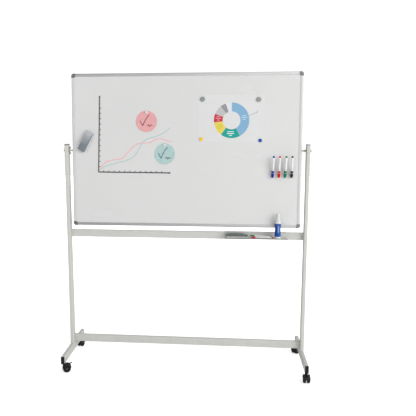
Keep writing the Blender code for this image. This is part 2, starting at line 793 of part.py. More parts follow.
BRAKE_X, BRAKE_Z = TRAIL + 0.0050, HOOD_TOP - 0.0006  # hinge of the brake lever
BRAKE_SLOT_LOW = (TRAIL + 0.0010, -0.0072, HOOD_TOP - 0.0085)
BRAKE_SLOT_HIGH = (TRAIL + 0.06, 0.0072, ABOVE_HOOD)
LUG_LOW = (TRAIL + 0.0012, 0.0074, HOOD_TOP - 0.0030)
LUG_HIGH = (TRAIL + 0.0088, 0.0110, HOOD_TOP + 0.0022)
TRUNNION_R, TRUNNION_HALF = 0.0014, 0.0098
HINGE_HOLE_R, HINGE_HOLE_HALF = 0.0017, 0.0104
LEVER_W = 0.0126
# side outline of the lever: (x, z) from its hinge
LEVER = arc((0, 0), 0.0024, 100, 250, steps=5) + [
    (0.0032, -0.0016), (0.0075, -0.0011), (0.0125, 0.0003), (0.0190, 0.0022),
    (0.0285, 0.0050), (0.0300, 0.0065), (0.0290, 0.0077), (0.0260, 0.0075),
    (0.0180, 0.0050), (0.0100, 0.0031), (0.0040, 0.0027),
]


def axle_frame(side):
    """A frame on the axle, pointing towards +Y or -Y."""
    return moved(PLUS_Y if side > 0 else MINUS_Y, (TRAIL, 0, WHEEL_R))


def hood_outline():
    """Side outline of the arch, from the trailing lip over the top to the stem's side."""
    start, end = 6, 186
    centre = (TRAIL, WHEEL_R)
    outer = arc(centre, HOOD_R, start, end, steps=14)
    return outer + arc(centre, HOOD_R - HOOD_T, end, start, steps=14)


def web_outline():
    """Side outline of the web between the wheels, which carries the axle and the boss."""
    centre = (TRAIL, WHEEL_R)
    return (
        arc(centre, HOOD_R - HOOD_T / 2, 12, 140, steps=9)
        + [(-BOSS_R, 0.0440), (-BOSS_R, 0.0300)]
        + arc(centre, 0.0100, 215, 350, steps=5)
    )


def wheel_profile():
    """(radius, distance from the caster's middle): a dished outer face with a hub cap,
    a rounded tread, and a blind bore from the inner face."""
    inner, outer = WHEEL_GAP / 2, WHEEL_GAP / 2 + WHEEL_W
    bore_r, bore_end = AXLE_R + BORE_CLEARANCE, outer - 0.0042
    return [
        (0, outer - 0.0012), (0.0070, outer - 0.0014), (0.0085, outer - 0.0034),
        (0.0185, outer - 0.0034), (0.0205, outer), (WHEEL_R - 0.0016, outer - 0.0006),
        (WHEEL_R, outer - 0.0050), (WHEEL_R, inner + 0.0016), (WHEEL_R - 0.0014, inner),
        (bore_r, inner), (bore_r, bore_end), (0, bore_end),
    ]


def build_stem(key, swivel):
    """A thread in the foot, a hexagon under it and the pin that the hood turns on."""
    thread = rod_mesh(
        THREAD_R, UNDER_FOOT - 0.002, FOOT_Z0 + THREAD_LENGTH, PLUS_Z, segments=14
    )
    stem = part("caster_stem_" + key, thread, "zinc_steel", swivel)
    hexagon = rod_mesh(HEXAGON_R, UNDER_FOOT - HEXAGON_T, UNDER_FOOT, PLUS_Z, segments=6)
    join(stem, "stem_hexagon_" + key, hexagon)
    pin = rod_mesh(STEM_R, PIN_Z0, UNDER_FOOT - 0.001, PLUS_Z, segments=14)
    join(stem, "stem_pin_" + key, pin)


def add_brake_mount(hood):
    """A slot in the arch for the lever, and a holed lug on each side of it."""
    node = hood.name
    cut(hood, node + "_brake_slot", box_mesh(BRAKE_SLOT_LOW, BRAKE_SLOT_HIGH))
    for label, side in PAIR:
        join(hood, f"{node}_lug_{label}", mirrored_box_mesh(LUG_LOW, LUG_HIGH, (1, side, 1)))
    place = moved(PLUS_Y, (BRAKE_X, 0, BRAKE_Z))
    hole = rod_mesh(HINGE_HOLE_R, -HINGE_HOLE_HALF, HINGE_HOLE_HALF, place, segments=8)
    cut(hood, node + "_brake_pin_hole", hole)


def build_hood(key, swivel):
    """An arch over both wheels, a web between them and a boss for the stem."""
    node = "caster_hood_" + key
    hood = part(node, prism_mesh(hood_outline(), HOOD_W, MINUS_Y), "black_plastic", swivel)
    join(hood, node + "_web", prism_mesh(web_outline(), WEB_T, MINUS_Y))
    boss = rod_mesh(BOSS_R, BOSS_Z0, UNDER_FOOT - BOSS_DROP, PLUS_Z, segments=18)
    join(hood, node + "_boss", boss)
    if key in BRAKED:
        add_brake_mount(hood)
    bore = rod_mesh(STEM_R + BORE_CLEARANCE, STEM_BORE_Z0, ABOVE_HOOD, PLUS_Z, segments=14)
    cut(hood, node + "_stem_bore", bore)
    bore = rod_mesh(AXLE_R + BORE_CLEARANCE, -0.02, 0.02, axle_frame(1), segments=14)
    cut(hood, node + "_axle_bore", bore)
    # room for the wheels beside the web and the boss
    inner = WHEEL_GAP / 2 - WHEEL_SIDE_ROOM
    for label, side in PAIR:
        room = rod_mesh(WHEEL_R + WHEEL_ROOM, inner, 0.04, axle_frame(side), segments=28)
        cut(hood, f"{node}_wheel_room_{label}", room)


def build_axle_and_wheels(key, swivel):
    half = WHEEL_GAP / 2 + WHEEL_W - AXLE_SHORT
    axle = rod_mesh(AXLE_R, -half, half, axle_frame(1), segments=14)
    part("caster_axle_" + key, axle, "zinc_steel", swivel)
    for label, side in PAIR:
        turned(
            f"caster_wheel_{label}_{key}", wheel_profile(), "wheel_plastic",
            axle_frame(side), swivel, steps=20,
        )


def build_brake(key, swivel):
    """Foot lever: trunnions in the hood's lugs and a paddle that reaches behind the hinge."""
    node = "brake_lever_" + key
    hinge = empty("brake_axis_" + key, (BRAKE_X, 0, BRAKE_Z), parent=swivel)
    lever = part(node, prism_mesh(LEVER, LEVER_W, MINUS_Y), "black_plastic", hinge)
    trunnion = rod_mesh(TRUNNION_R, -TRUNNION_HALF, TRUNNION_HALF, PLUS_Y, segments=8)
    join(lever, node + "_trunnion", trunnion)


def build_casters():
    for side_name, side in SIDES:
        for end_name, end in ENDS:
            key = f"{end_name}_{side_name}"
            place = (side * UPRIGHT_X, end * CASTER_Y, 0.0)
            turn = math.radians(CASTER_TURN[key])
            swivel = empty("swivel_axis_" + key, place, (0.0, 0.0, turn))
            build_stem(key, swivel)
            build_hood(key, swivel)
            build_axle_and_wheels(key, swivel)
            if key in BRAKED:
                build_brake(key, swivel)


def move_to_origin():
    for obj in [*PARTS.objects, *CUTTERS.objects]:
        if obj.parent is None:
            obj.location.y -= ORIGIN_Y


build_board()
build_pivots()
build_stand()
build_tray()
build_casters()
move_to_origin()
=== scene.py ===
"""Looks of a mobile revolving whiteboard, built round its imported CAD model.

Metres, +Z up, in the model's own frame: X runs along the board, left is -X and the
front is -Y. Every place comes from the boxes of the CAD nodes and from the joints. The
CAD solids are replaced by finer pieces of the same size, or keep their shape and get a
procedural finish. What lies on the board rides with it, and what lies in the pen tray
rides with the tray.
"""

import json
import math

import bmesh
import bpy
from mathutils import Matrix, Vector, noise


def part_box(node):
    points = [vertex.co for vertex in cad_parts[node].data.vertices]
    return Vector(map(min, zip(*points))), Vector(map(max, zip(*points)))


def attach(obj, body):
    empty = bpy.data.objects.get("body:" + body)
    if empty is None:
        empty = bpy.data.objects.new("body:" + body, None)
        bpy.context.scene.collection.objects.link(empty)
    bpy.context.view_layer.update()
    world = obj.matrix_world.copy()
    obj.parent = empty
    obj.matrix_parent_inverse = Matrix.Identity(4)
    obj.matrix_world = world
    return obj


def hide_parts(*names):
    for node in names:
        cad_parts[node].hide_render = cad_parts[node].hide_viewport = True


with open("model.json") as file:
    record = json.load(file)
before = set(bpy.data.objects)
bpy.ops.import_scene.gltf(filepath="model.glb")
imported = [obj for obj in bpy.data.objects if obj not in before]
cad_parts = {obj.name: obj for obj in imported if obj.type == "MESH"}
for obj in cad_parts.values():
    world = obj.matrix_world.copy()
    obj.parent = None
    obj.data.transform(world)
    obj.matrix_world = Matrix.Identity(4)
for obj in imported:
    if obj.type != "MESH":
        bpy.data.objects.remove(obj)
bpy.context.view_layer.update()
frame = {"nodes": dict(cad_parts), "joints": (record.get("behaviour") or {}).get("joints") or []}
NODES = frame["nodes"]
JOINTS = {joint["name"]: joint for joint in frame["joints"]}
SIDES = (("left", -1), ("right", 1))
CASTERS = [f"{end}_{side}" for side in ("left", "right") for end in ("front", "rear")]
GAP = 0.0003  # clearance between fitted pieces


# =========================================================== places from the CAD
def joint_at(name):
    return Vector(JOINTS[name]["pos_m"])


def axes(x_axis, y_axis, z_axis, at=(0, 0, 0)):
    """The matrix with these columns, moved to `at`."""
    matrix = Matrix((x_axis, y_axis, z_axis)).transposed().to_4x4()
    matrix.translation = Vector(at)
    return matrix


def along_x(way, at=(0, 0, 0)):
    """Axes whose Z points to +X or -X (way 1 or -1), with their Y up."""
    return axes((0, way, 0), (0, 0, 1), (way, 0, 0), at)


def along_y(way, at=(0, 0, 0)):
    """Axes whose Z points to +Y or -Y (way 1 or -1), with their Y up."""
    return axes((-way, 0, 0), (0, 0, 1), (0, way, 0), at)


def local_box(node, matrix):
    inverse = matrix.inverted()
    points = [inverse @ vertex.co for vertex in NODES[node].data.vertices]
    return tuple(
        Vector([pick(point[i] for point in points) for i in range(3)]) for pick in (min, max)
    )


def middle(node):
    low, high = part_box(node)
    return (low + high) / 2


def board_frame():
    """The board's own axes: X across, Y into the board from its front, Z up the board."""
    faces = NODES["writing_surface_front"].data.polygons
    normal = sum((face.normal * face.area for face in faces if face.normal.y < -0.9), Vector())
    tilt = math.atan2(normal.z, -normal.y)
    return Matrix.Translation(joint_at("board_flip")) @ Matrix.Rotation(-tilt, 4, "X")


FROM_FRONT = along_y(-1)
BOARD = board_frame()
PIVOT = BOARD.translation
TOP_LOW, TOP_HIGH = local_box("frame_top", BOARD)
CORE_LOW, CORE_HIGH = local_box("panel_core", BOARD)
HALF_W = local_box("frame_right", BOARD)[1].x
HALF_H = TOP_HIGH.z
BOARD_T = TOP_HIGH.y - TOP_LOW.y
FACE_W = TOP_HIGH.z - TOP_LOW.z
CORNER = HALF_W - TOP_HIGH.x - GAP  # side of a corner cap
SHEET_Y = local_box("writing_surface_front", BOARD)[0].y  # the writing face
PANEL_INSET = HALF_W - CORE_HIGH.x
FRAME_WALL, FRAME_LIP = 0.0015, 0.0032
STUD_HOLE_R, STUD_R = 0.0054, 0.005


# ================================================================ outlines
def arc(centre, radius, start, end, steps):
    """Points on an arc, angles in degrees."""
    turn = [math.radians(start + (end - start) * i / steps) for i in range(steps + 1)]
    return [(centre[0] + radius * math.cos(a), centre[1] + radius * math.sin(a)) for a in turn]


def rounded_rectangle(width, height, radius, steps=6, centre=(0.0, 0.0)):
    reach_x, reach_y = width / 2 - radius, height / 2 - radius
    corners = ((reach_x, reach_y), (-reach_x, reach_y), (-reach_x, -reach_y), (reach_x, -reach_y))
    outline = []
    for i, (x, y) in enumerate(corners):
        place = (centre[0] + x, centre[1] + y)
        outline += arc(place, radius, 90 * i, 90 * i + 90, steps)
    return outline


def fillet(rows, steps=5):
    """The points of rows (x, y) or (x, y, radius). A corner with a radius is rounded."""
    made = []
    for i, row in enumerate(rows):
        corner = Vector(row[:2])
        radius = row[2] if len(row) > 2 else 0
        if radius <= 0:
            made.append(tuple(corner))
            continue
        before = Vector(rows[i - 1][:2]) - corner
        after = Vector(rows[(i + 1) % len(rows)][:2]) - corner
        longest = min(before.length, after.length) * 0.49
        before.normalize()
        after.normalize()
        angle = before.angle(after)
        if angle > math.radians(177):
            made.append(tuple(corner))
            continue
        reach = min(radius / math.tan(angle / 2), longest)
        radius = reach * math.tan(angle / 2)
        centre = corner + (before + after).normalized() * (radius / math.sin(angle / 2))
        start, end = corner + before * reach - centre, corner + after * reach - centre
        first, last = math.atan2(start.y, start.x), math.atan2(end.y, end.x)
        sweep = (last - first + math.pi) % (2 * math.pi) - math.pi
        for k in range(steps + 1):
            turn = first + sweep * k / steps
            made.append((centre.x + radius * math.cos(turn), centre.y + radius * math.sin(turn)))
    return made


def strip_outline(path, thickness):
    """The outline of a bent strip: left of its path, or right for a negative thickness."""
    points = [Vector(point) for point in path]
    offset = []
    for i, point in enumerate(points):
        before = (point - points[i - 1]).normalized() if i else None
        after = (points[i + 1] - point).normalized() if i + 1 < len(points) else None
        before, after = before or after, after or before
        normal = Vector((-before.y, before.x))
        mitre = (normal + Vector((-after.y, after.x))).normalized()
        offset.append(point + mitre * (thickness / mitre.dot(normal)))
    return [tuple(point) for point in points] + [tuple(point) for point in reversed(offset)]


# ================================================================ meshes
class Shell:
    """A mesh built up from rings and grids of vertices."""

    def __init__(self):
        self.build = bmesh.new()

    def ring(self, points):
        return [self.build.verts.new(point) for point in points]

    def face(self, corners):
        self.build.faces.new(corners)

    def bridge(self, first, second):
        """Faces between two closed rings. A ring of one vertex makes a fan."""
        count = max(len(first), len(second))
        for i in range(count):
            j = (i + 1) % count
            if len(first) == 1:
                self.face((first[0], second[i], second[j]))
            elif len(second) == 1:
                self.face((first[i], first[j], second[0]))
            else:
                self.face((first[i], first[j], second[j], second[i]))

    def fill(self, *grids):
        """Quads over grids of equal size."""
        for i in range(len(grids[0]) - 1):
            for j in range(len(grids[0][0]) - 1):
                for grid in grids:
                    self.face((grid[i][j], grid[i + 1][j], grid[i + 1][j + 1], grid[i][j + 1]))

    def mesh(self, name, matrix=None):
        if matrix:
            bmesh.ops.transform(self.build, matrix=matrix, verts=self.build.verts)
        bmesh.ops.recalc_face_normals(self.build, faces=self.build.faces)
        mesh = bpy.data.meshes.new(name)
        self.build.to_mesh(mesh)
        self.build.free()
        return mesh


def border(grid):
    """The vertices round the edge of a grid."""
    last_i, last_j = len(grid) - 1, len(grid[0]) - 1
    edge = [grid[i][0] for i in range(last_i)] + [grid[last_i][j] for j in range(last_j)]
    edge += [grid[last_i - i][last_j] for i in range(last_i)]
    return edge + [grid[0][last_j - j] for j in range(last_j)]


def prism(outline, start, end, direction=None):
    """An outline extruded along a frame's third axis, from start to end."""
    shell = Shell()
    low, high = (shell.ring([(x, y, z) for x, y in outline]) for z in (start, end))
    shell.face(low)
    shell.face(high)
    shell.bridge(low, high)
    return shell.mesh("prism", direction)


def tube(outer, inner, start, end, direction=None, floor=0.0):
    """A hollow section. With a floor, its low end is closed by a plate that thick."""
    shell = Shell()
    rings = [
        shell.ring([(x, y, z) for x, y in outline])
        for outline, z in ((outer, start), (outer, end), (inner, end), (inner, start + floor))
    ]
    for first, second in zip(rings, rings[1:]):
        shell.bridge(first, second)
    if floor:
        shell.face(rings[0])
        shell.face(rings[3])
    else:
        shell.bridge(rings[3], rings[0])
    return shell.mesh("tube", direction)


def box(low, high):
    outline = [(low[0], low[1]), (high[0], low[1]), (high[0], high[1]), (low[0], high[1])]
    # single precision, like every other place
    low, high = Vector(low), Vector(high)
    outline = [(low.x, low.y), (high.x, low.y), (high.x, high.y), (low.x, high.y)]
    return prism(outline, low.z, high.z)


def rod(radius, start, end, segments, direction=None):
    outline = arc((0, 0), radius, 0, 360 - 360 / segments, segments - 1)
    return prism(outline, start, end, direction)


def lathe(profile, segments, closed=False):
    """(radius, height) pairs spun about Z."""
    shell = Shell()
    turn = [2 * math.pi * i / segments for i in range(segments)]
    rings = []
    for radius, z in profile:
        spun = [(radius * math.cos(angle), radius * math.sin(angle), z) for angle in turn]
        rings.append(shell.ring([(0, 0, z)] if radius < 1e-7 else spun))
    for first, second in zip(rings, rings[1:] + (rings[:1] if closed else [])):
        shell.bridge(first, second)
    return shell.mesh("lathe")


def paint_bands(mesh, bands):
    """The second material for the faces whose mean height lies in a band (low, high)."""
    for face in mesh.polygons:
        height = sum(mesh.vertices[i].co.z for i in face.vertices) / len(face.vertices)
        if any(low <= height < high for low, high in bands):
            face.material_index = 1
    return mesh


def patch(point, across, along, thickness):
    """A thin closed sheet. point(right, up), both 0 to 1, gives its front; its back lies
    `thickness` further along +Y."""
    shell = Shell()
    front, back = [], []
    for i in range(across + 1):
        row = [Vector(point(i / across, j / along)) for j in range(along + 1)]
        front.append(shell.ring(row))
        back.append(shell.ring([place + Vector((0, thickness, 0)) for place in row]))
    shell.fill(front, back)
    shell.bridge(border(front), border(back))
    return shell.mesh("patch")


# ================================================================ objects
def new_object(name, mesh, matrix=None):
    made = bpy.data.objects.new(name, mesh)
    bpy.context.scene.collection.objects.link(made)
    made.matrix_world = matrix or Matrix.Identity(4)
    return made


def settle(obj):
    """The object's modifiers become its mesh."""
    bpy.context.view_layer.update()
    graph = bpy.context.evaluated_depsgraph_get()
    mesh = bpy.data.meshes.new_from_object(obj.evaluated_get(graph))
    old = obj.data
    obj.modifiers.clear()
    obj.data = mesh
    mesh.name = obj.name
    bpy.data.meshes.remove(old)


def combine(obj, other, operation="DIFFERENCE"):
    """Joins or cuts with a mesh given in the object's own axes."""
    helper = new_object("helper", other, obj.matrix_world.copy())
    modifier = obj.modifiers.new("combine", "BOOLEAN")
    modifier.operation = operation
    modifier.solver = "EXACT"
    modifier.object = helper
    settle(obj)
    bpy.data.objects.remove(helper, do_unlink=True)


def drill(obj, radius, start, end, direction, at, segments=28):
    mesh = rod(radius, start, end, segments, direction)
    mesh.transform(Matrix.Translation(at))
    combine(obj, mesh)


def soften(obj, width, segments=2, angle=50):
    modifier = obj.modifiers.new("edges", "BEVEL")
    modifier.width = width
    modifier.segments = segments
    modifier.limit_method = "ANGLE"
    modifier.angle_limit = math.radians(angle)
    modifier.use_clamp_overlap = True
    settle(obj)


def finish(obj, body, materials, node=None, sharp=38, weighted=False):
    """Shading, materials, the body it rides on and the CAD node it stands for."""
    mesh = obj.data
    index = [face.material_index for face in mesh.polygons]
    mesh.materials.clear()
    for material in materials if isinstance(materials, list) else [materials]:
        mesh.materials.append(material)
    if len(mesh.materials) > 1:
        mesh.polygons.foreach_set("material_index", index)
    mesh.shade_smooth()
    if sharp:
        mesh.set_sharp_from_angle(angle=math.radians(sharp))
    if weighted:
        modifier = obj.modifiers.new("normals", "WEIGHTED_NORMAL")
        modifier.keep_sharp = True
        modifier.weight = 80
    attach(obj, body)
    if node:
        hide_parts(node)


# ================================================================== materials
class Nodes:
    """A node tree. Inputs take a number, a colour or another node's output."""

    def __init__(self, tree):
        self.tree = tree

    def feed(self, socket, value):
        if isinstance(value, bpy.types.NodeSocket):
            self.tree.links.new(value, socket)
            return
        if socket.type == "RGBA":
            value = (*value[:3], 1.0)
        socket.default_value = value

    def node(self, kind, inputs=None, **settings):
        made = self.tree.nodes.new(kind)
        for key, value in settings.items():
            setattr(made, key, value)
        for key, value in (inputs or {}).items():
            self.feed(made.inputs[key], value)
        return made

    def math(self, operation, *values, clamp=False):
        inputs = dict(enumerate(values))
        made = self.node("ShaderNodeMath", inputs, operation=operation, use_clamp=clamp)
        return made.outputs["Value"]


class Look(Nodes):
    """A Principled material fed by procedural nodes, in the piece's own coordinates."""

    def __init__(self, name, metallic=0.0, stretch=(1, 1, 1), turn=(0, 0, 0)):
        self.material = bpy.data.materials.new(name)
        self.material.use_nodes = True
        super().__init__(self.material.node_tree)
        self.shader = self.tree.nodes["Principled BSDF"]
        self.set(Metallic=metallic)
        self.plain = self.node("ShaderNodeTexCoord").outputs["Object"]
        inputs = {"Vector": self.plain, "Scale": stretch, "Rotation": turn}
        self.where = self.node("ShaderNodeMapping", inputs).outputs["Vector"]
        self.normal = None

    def set(self, **values):
        for key, value in values.items():
            self.feed(self.shader.inputs[key.replace("_", " ")], value)

    def noise(self, scale, detail=2.0, roughness=0.5, distortion=0.0, at=None):
        inputs = {
            "Scale": scale, "Detail": detail, "Roughness": roughness,
            "Distortion": distortion, "Vector": at or self.where,
        }
        return self.node("ShaderNodeTexNoise", inputs).outputs["Fac"]

    def spread(self, value, span, to=(0.0, 1.0)):
        """Maps the span (low, high) of a value to another one, clamped."""
        inputs = {
            "From Min": span[0], "From Max": span[1],
            "To Min": to[0], "To Max": to[1], "Value": value,
        }
        return self.node("ShaderNodeMapRange", inputs).outputs["Result"]

    def blend(self, fac, first, second):
        # sockets 6 and 7 and output 2 are the mix node's colours
        inputs = {"Factor": fac, 6: first, 7: second}
        made = self.node("ShaderNodeMix", inputs, data_type="RGBA", blend_type="MIX")
        return made.outputs[2]

    def mottle(self, colour, pattern, dark, light, span=(0.35, 0.65)):
        """A colour that a pattern varies between two multiples of it."""
        return self.blend(self.spread(pattern, span), shade(colour, dark), shade(colour, light))

    def stain(self, tone, colour, cover, amount):
        """Part of a colour laid over a tone where the cover is 1."""
        return self.blend(self.math("MULTIPLY", cover, amount), tone, colour)

    def axis(self, letter, at=None):
        inputs = {"Vector": at or self.plain}
        return self.node("ShaderNodeSeparateXYZ", inputs).outputs[letter]

    def worn(self, span=(0.52, 0.62)):
        """0 on flats, 1 on outer edges."""
        geometry = self.node("ShaderNodeNewGeometry")
        return self.spread(geometry.outputs["Pointiness"], span)

    def rough(self, pattern, low, high):
        """Roughness that a pattern varies from low to high."""
        self.set(Roughness=self.spread(pattern, (0.3, 0.7), (low, high)))

    def bump(self, height, strength, distance=0.0002):
        inputs = {"Strength": strength, "Distance": distance, "Height": height}
        if self.normal:
            inputs["Normal"] = self.normal
        self.normal = self.node("ShaderNodeBump", inputs).outputs["Normal"]
        self.set(Normal=self.normal)


def shade(colour, factor, plus=0.0):
    return tuple(min(1.0, channel * factor + plus) for channel in colour)


def powder_coat(name, colour, grime=0.0, lip=None):
    """Baked powder paint: faint orange peel, slight tone changes, and grime towards the floor.
    A lip (y from, y to) gets painted shade: its front is darkened as if it lay in shadow."""
    mat = Look(name)
    tone = mat.mottle(colour, mat.noise(scale=2.3, detail=3), dark=0.975, light=1.02)
    speck = mat.spread(mat.noise(scale=620, roughness=0.6), (0.60, 0.72))
    tone = mat.stain(tone, shade(colour, 0.80), cover=speck, amount=0.16)
    if grime:
        low = mat.spread(mat.axis("Z"), (0.05, 0.24), to=(1.0, 0.0))
        patches = mat.spread(mat.noise(scale=26, detail=5, roughness=0.6), (0.42, 0.66))
        patchy = mat.math("MULTIPLY", low, patches)
        tone = mat.stain(tone, (0.34, 0.32, 0.28), cover=patchy, amount=grime)
    # painted shade: the lip's front is darkened as if in shadow
    if lip:
        tone = mat.blend(mat.spread(mat.axis("Y"), lip, to=(0.9, 0.0)), tone, (0.17, 0.18, 0.17))
    mat.set(Base_Color=tone)
    mat.rough(mat.noise(scale=34, detail=3), low=0.40, high=0.52)
    mat.bump(mat.noise(scale=420, roughness=0.45), strength=0.10, distance=0.0004)
    mat.bump(mat.noise(scale=60), strength=0.05, distance=0.0006)
    return mat.material


def aluminium(name, along, colour, metallic, fade=None):
    """Satin anodised extrusion: die lines that run along the profile. With fade, painted shade
    darkens it towards the left end, to that multiple of the colour."""
    stretch = [3.0 if letter == along else 900 for letter in "XYZ"]
    mat = Look(name, metallic=metallic, stretch=stretch)
    lines = mat.noise(scale=1.0, detail=4, roughness=0.65)
    broad = mat.noise(scale=5.0, detail=3, at=mat.plain)
    tone = mat.mottle(colour, lines, dark=0.88, light=1.06, span=(0.3, 0.7))
    cloud = mat.spread(broad, (0.4, 0.7))
    tone = mat.stain(tone, shade(colour, 0.9), cover=cloud, amount=0.25)
    # painted shade: darker towards the left end, where the frame reflects less of the light
    if fade:
        left = mat.spread(mat.axis("X"), (-HALF_W, HALF_W * 0.6), to=(1.0, 0.0))
        tone = mat.blend(left, tone, shade(colour, fade))
    fine = mat.spread(lines, (0.3, 0.7), to=(0.0, 0.12))
    coarse = mat.spread(broad, (0.3, 0.7), to=(0.34, 0.44))
    mat.set(Base_Color=tone, Roughness=mat.math("ADD", fine, coarse))
    mat.bump(lines, strength=0.10)
    mat.bump(mat.noise(scale=1400, at=mat.plain), strength=0.05)
    return mat.material


def enamel():
    """Glossy enamelled steel, with the faint greyish haze that wiped ink leaves."""
    mat = Look("whiteboard_enamel", stretch=(2.2, 2.2, 9.0), turn=(0.0, math.radians(24), 0.0))
    wipes = mat.noise(scale=1.0, detail=4, roughness=0.55, distortion=0.8)
    cloud = mat.spread(mat.noise(scale=1.4, detail=3, at=mat.plain), (0.35, 0.68))
    haze = mat.math("MULTIPLY", mat.spread(wipes, (0.45, 0.72)), cloud)
    broad = mat.noise(scale=0.8, at=mat.plain)
    tone = mat.mottle((0.666, 0.670, 0.664), broad, dark=0.988, light=1.01)
    tone = mat.stain(tone, (0.40, 0.41, 0.45), cover=haze, amount=0.030)
    hazy = mat.spread(haze, (0.0, 1.0), to=(0.20, 0.30))
    uneven = mat.spread(mat.noise(scale=9, detail=3, at=mat.plain), (0.3, 0.7), to=(0.0, 0.05))
    mat.set(Base_Color=tone, Roughness=mat.math("ADD", hazy, uneven))
    mat.bump(mat.noise(scale=55, roughness=0.4, at=mat.plain), strength=0.025, distance=0.0004)
    mat.set(Coat_Weight=0.25, Coat_Roughness=0.12, Specular_IOR_Level=0.45)
    return mat.material


def moulded(name, colour, roughness=0.45, grain=900, wear=0.25, dust_and_lit_top=0.0, lighter=None,
            facing=(0.2, 1.0), shine=0.5):
    """Moulded plastic: fine spark-eroded grain, mottled gloss, edges rubbed a little lighter.
    Dust lies on the faces whose upward normal is in the span `facing`; a large amount of it is a
    painted highlight that lightens the lit upper faces."""
    mat = Look(name)
    mottling = mat.noise(scale=28, detail=4, roughness=0.6)
    tone = mat.mottle(colour, mottling, dark=0.88, light=1.12, span=(0.35, 0.7))
    edge = lighter or shade(colour, 1.5, plus=0.03)
    tone = mat.stain(tone, edge, cover=mat.worn(), amount=wear)
    # dust on the upward faces; a large amount is a painted highlight on the faces turned to the
    # light
    if dust_and_lit_top:
        normal = mat.node("ShaderNodeNewGeometry").outputs["Normal"]
        upward = mat.spread(mat.axis("Z", normal), facing)
        patches = mat.noise(scale=70, detail=4, roughness=0.6)
        dust_and_lit_cover = mat.math("MULTIPLY", upward, mat.spread(patches, (0.25, 0.6), to=(0.45, 1.0)))
        tone = mat.stain(tone, lighter or (0.35, 0.34, 0.32), cover=dust_and_lit_cover, amount=dust_and_lit_top)
    mat.set(Base_Color=tone, Specular_IOR_Level=shine)
    mat.rough(mat.noise(scale=45, detail=3), low=roughness - 0.06, high=roughness + 0.08)
    mat.bump(mat.noise(scale=grain), strength=0.12)
    return mat.material


def zinc(name, colour, roughness):
    """Zinc-plated steel: cloudy plating with a faint warm cast and small dull spots."""
    mat = Look(name, metallic=1.0)
    cloud = mat.noise(scale=120, detail=4, roughness=0.6)
    tone = mat.mottle(colour, cloud, dark=0.78, light=1.15)
    warm = mat.spread(mat.noise(scale=60, detail=3, roughness=0.6), (0.45, 0.7))
    tone = mat.stain(tone, (0.42, 0.34, 0.24), cover=warm, amount=0.45)
    tone = mat.stain(tone, (0.75, 0.74, 0.72), cover=mat.worn((0.53, 0.64)), amount=0.5)
    mat.set(Base_Color=tone)
    mat.rough(cloud, low=roughness - 0.08, high=roughness + 0.16)
    mat.bump(mat.noise(scale=700, detail=3, roughness=0.6), strength=0.10)
    return mat.material


def felt(name, colour):
    """Pressed felt: short tangled fibres."""
    mat = Look(name)
    fibre = mat.noise(scale=900, detail=6, roughness=0.75, distortion=1.5)
    tone = mat.mottle(colour, fibre, dark=0.7, light=1.2)
    soiled = mat.spread(mat.noise(scale=45, detail=3), (0.45, 0.75))
    tone = mat.stain(tone, (0.16, 0.16, 0.19), cover=soiled, amount=0.35)
    mat.set(Base_Color=tone, Roughness=0.95, Sheen_Weight=0.5, Sheen_Roughness=0.5)
    mat.bump(fibre, strength=0.6, distance=0.0009)
    mat.bump(mat.noise(scale=160, detail=3), strength=0.3, distance=0.0009)
    return mat.material


def paper(name, colour, roughness=0.55):
    """Uncoated paper: faint fibre clouding and tooth."""
    mat = Look(name)
    cloud = mat.noise(scale=110, detail=5, roughness=0.65)
    tone = mat.mottle(colour, cloud, dark=0.975, light=1.02)
    fleck = mat.spread(mat.noise(scale=1900, detail=3, roughness=0.7), (0.62, 0.74))
    tone = mat.stain(tone, shade(colour, 0.8), cover=fleck, amount=0.12)
    mat.set(Base_Color=tone)
    mat.rough(cloud, low=roughness - 0.05, high=roughness + 0.05)
    mat.bump(mat.noise(scale=1300, detail=4, roughness=0.6), strength=0.10)
    return mat.material


def ink(name, colour, patchiness):
    """Dry-wipe ink: streaked cover that thins where the tip ran dry."""
    mat = Look(name)
    streak = mat.noise(scale=260, detail=4, roughness=0.6, distortion=0.6)
    thin = mat.spread(streak, (0.50, 0.78))
    pale = shade(colour, 0.5, plus=0.4)
    mat.set(Base_Color=mat.stain(colour, pale, cover=thin, amount=patchiness))
    mat.rough(streak, low=0.42, high=0.6)
    mat.bump(streak, strength=0.05, distance=0.0001)
    return mat.material


def card(name, colour):
    """Dyed card with a coloured-in look: overlapping strokes a shade apart."""
    mat = Look(name, stretch=(1, 1, 7))
    strokes = mat.noise(scale=30, detail=3, roughness=0.6, distortion=0.4)
    tone = mat.mottle(colour, strokes, dark=0.93, light=1.05)
    fleck = mat.spread(mat.noise(scale=1500, detail=3, at=mat.plain), (0.6, 0.72))
    tone = mat.stain(tone, shade(colour, 0.75), cover=fleck, amount=0.15)
    mat.set(Base_Color=tone, Roughness=0.72)
    mat.bump(mat.noise(scale=1100, detail=3, at=mat.plain), strength=0.08)
    return mat.material


def core_board():
    """Pressed fibre board, seen only where the board is opened."""
    mat = Look("core_fibre")
    fibre = mat.noise(scale=380, detail=6, roughness=0.7, distortion=0.8)
    tone = mat.blend(mat.spread(fibre, (0.35, 0.65)), (0.30, 0.21, 0.12), (0.52, 0.39, 0.25))
    mat.set(Base_Color=tone, Roughness=0.92)
    mat.bump(fibre, strength=0.4, distance=0.0006)
    return mat.material


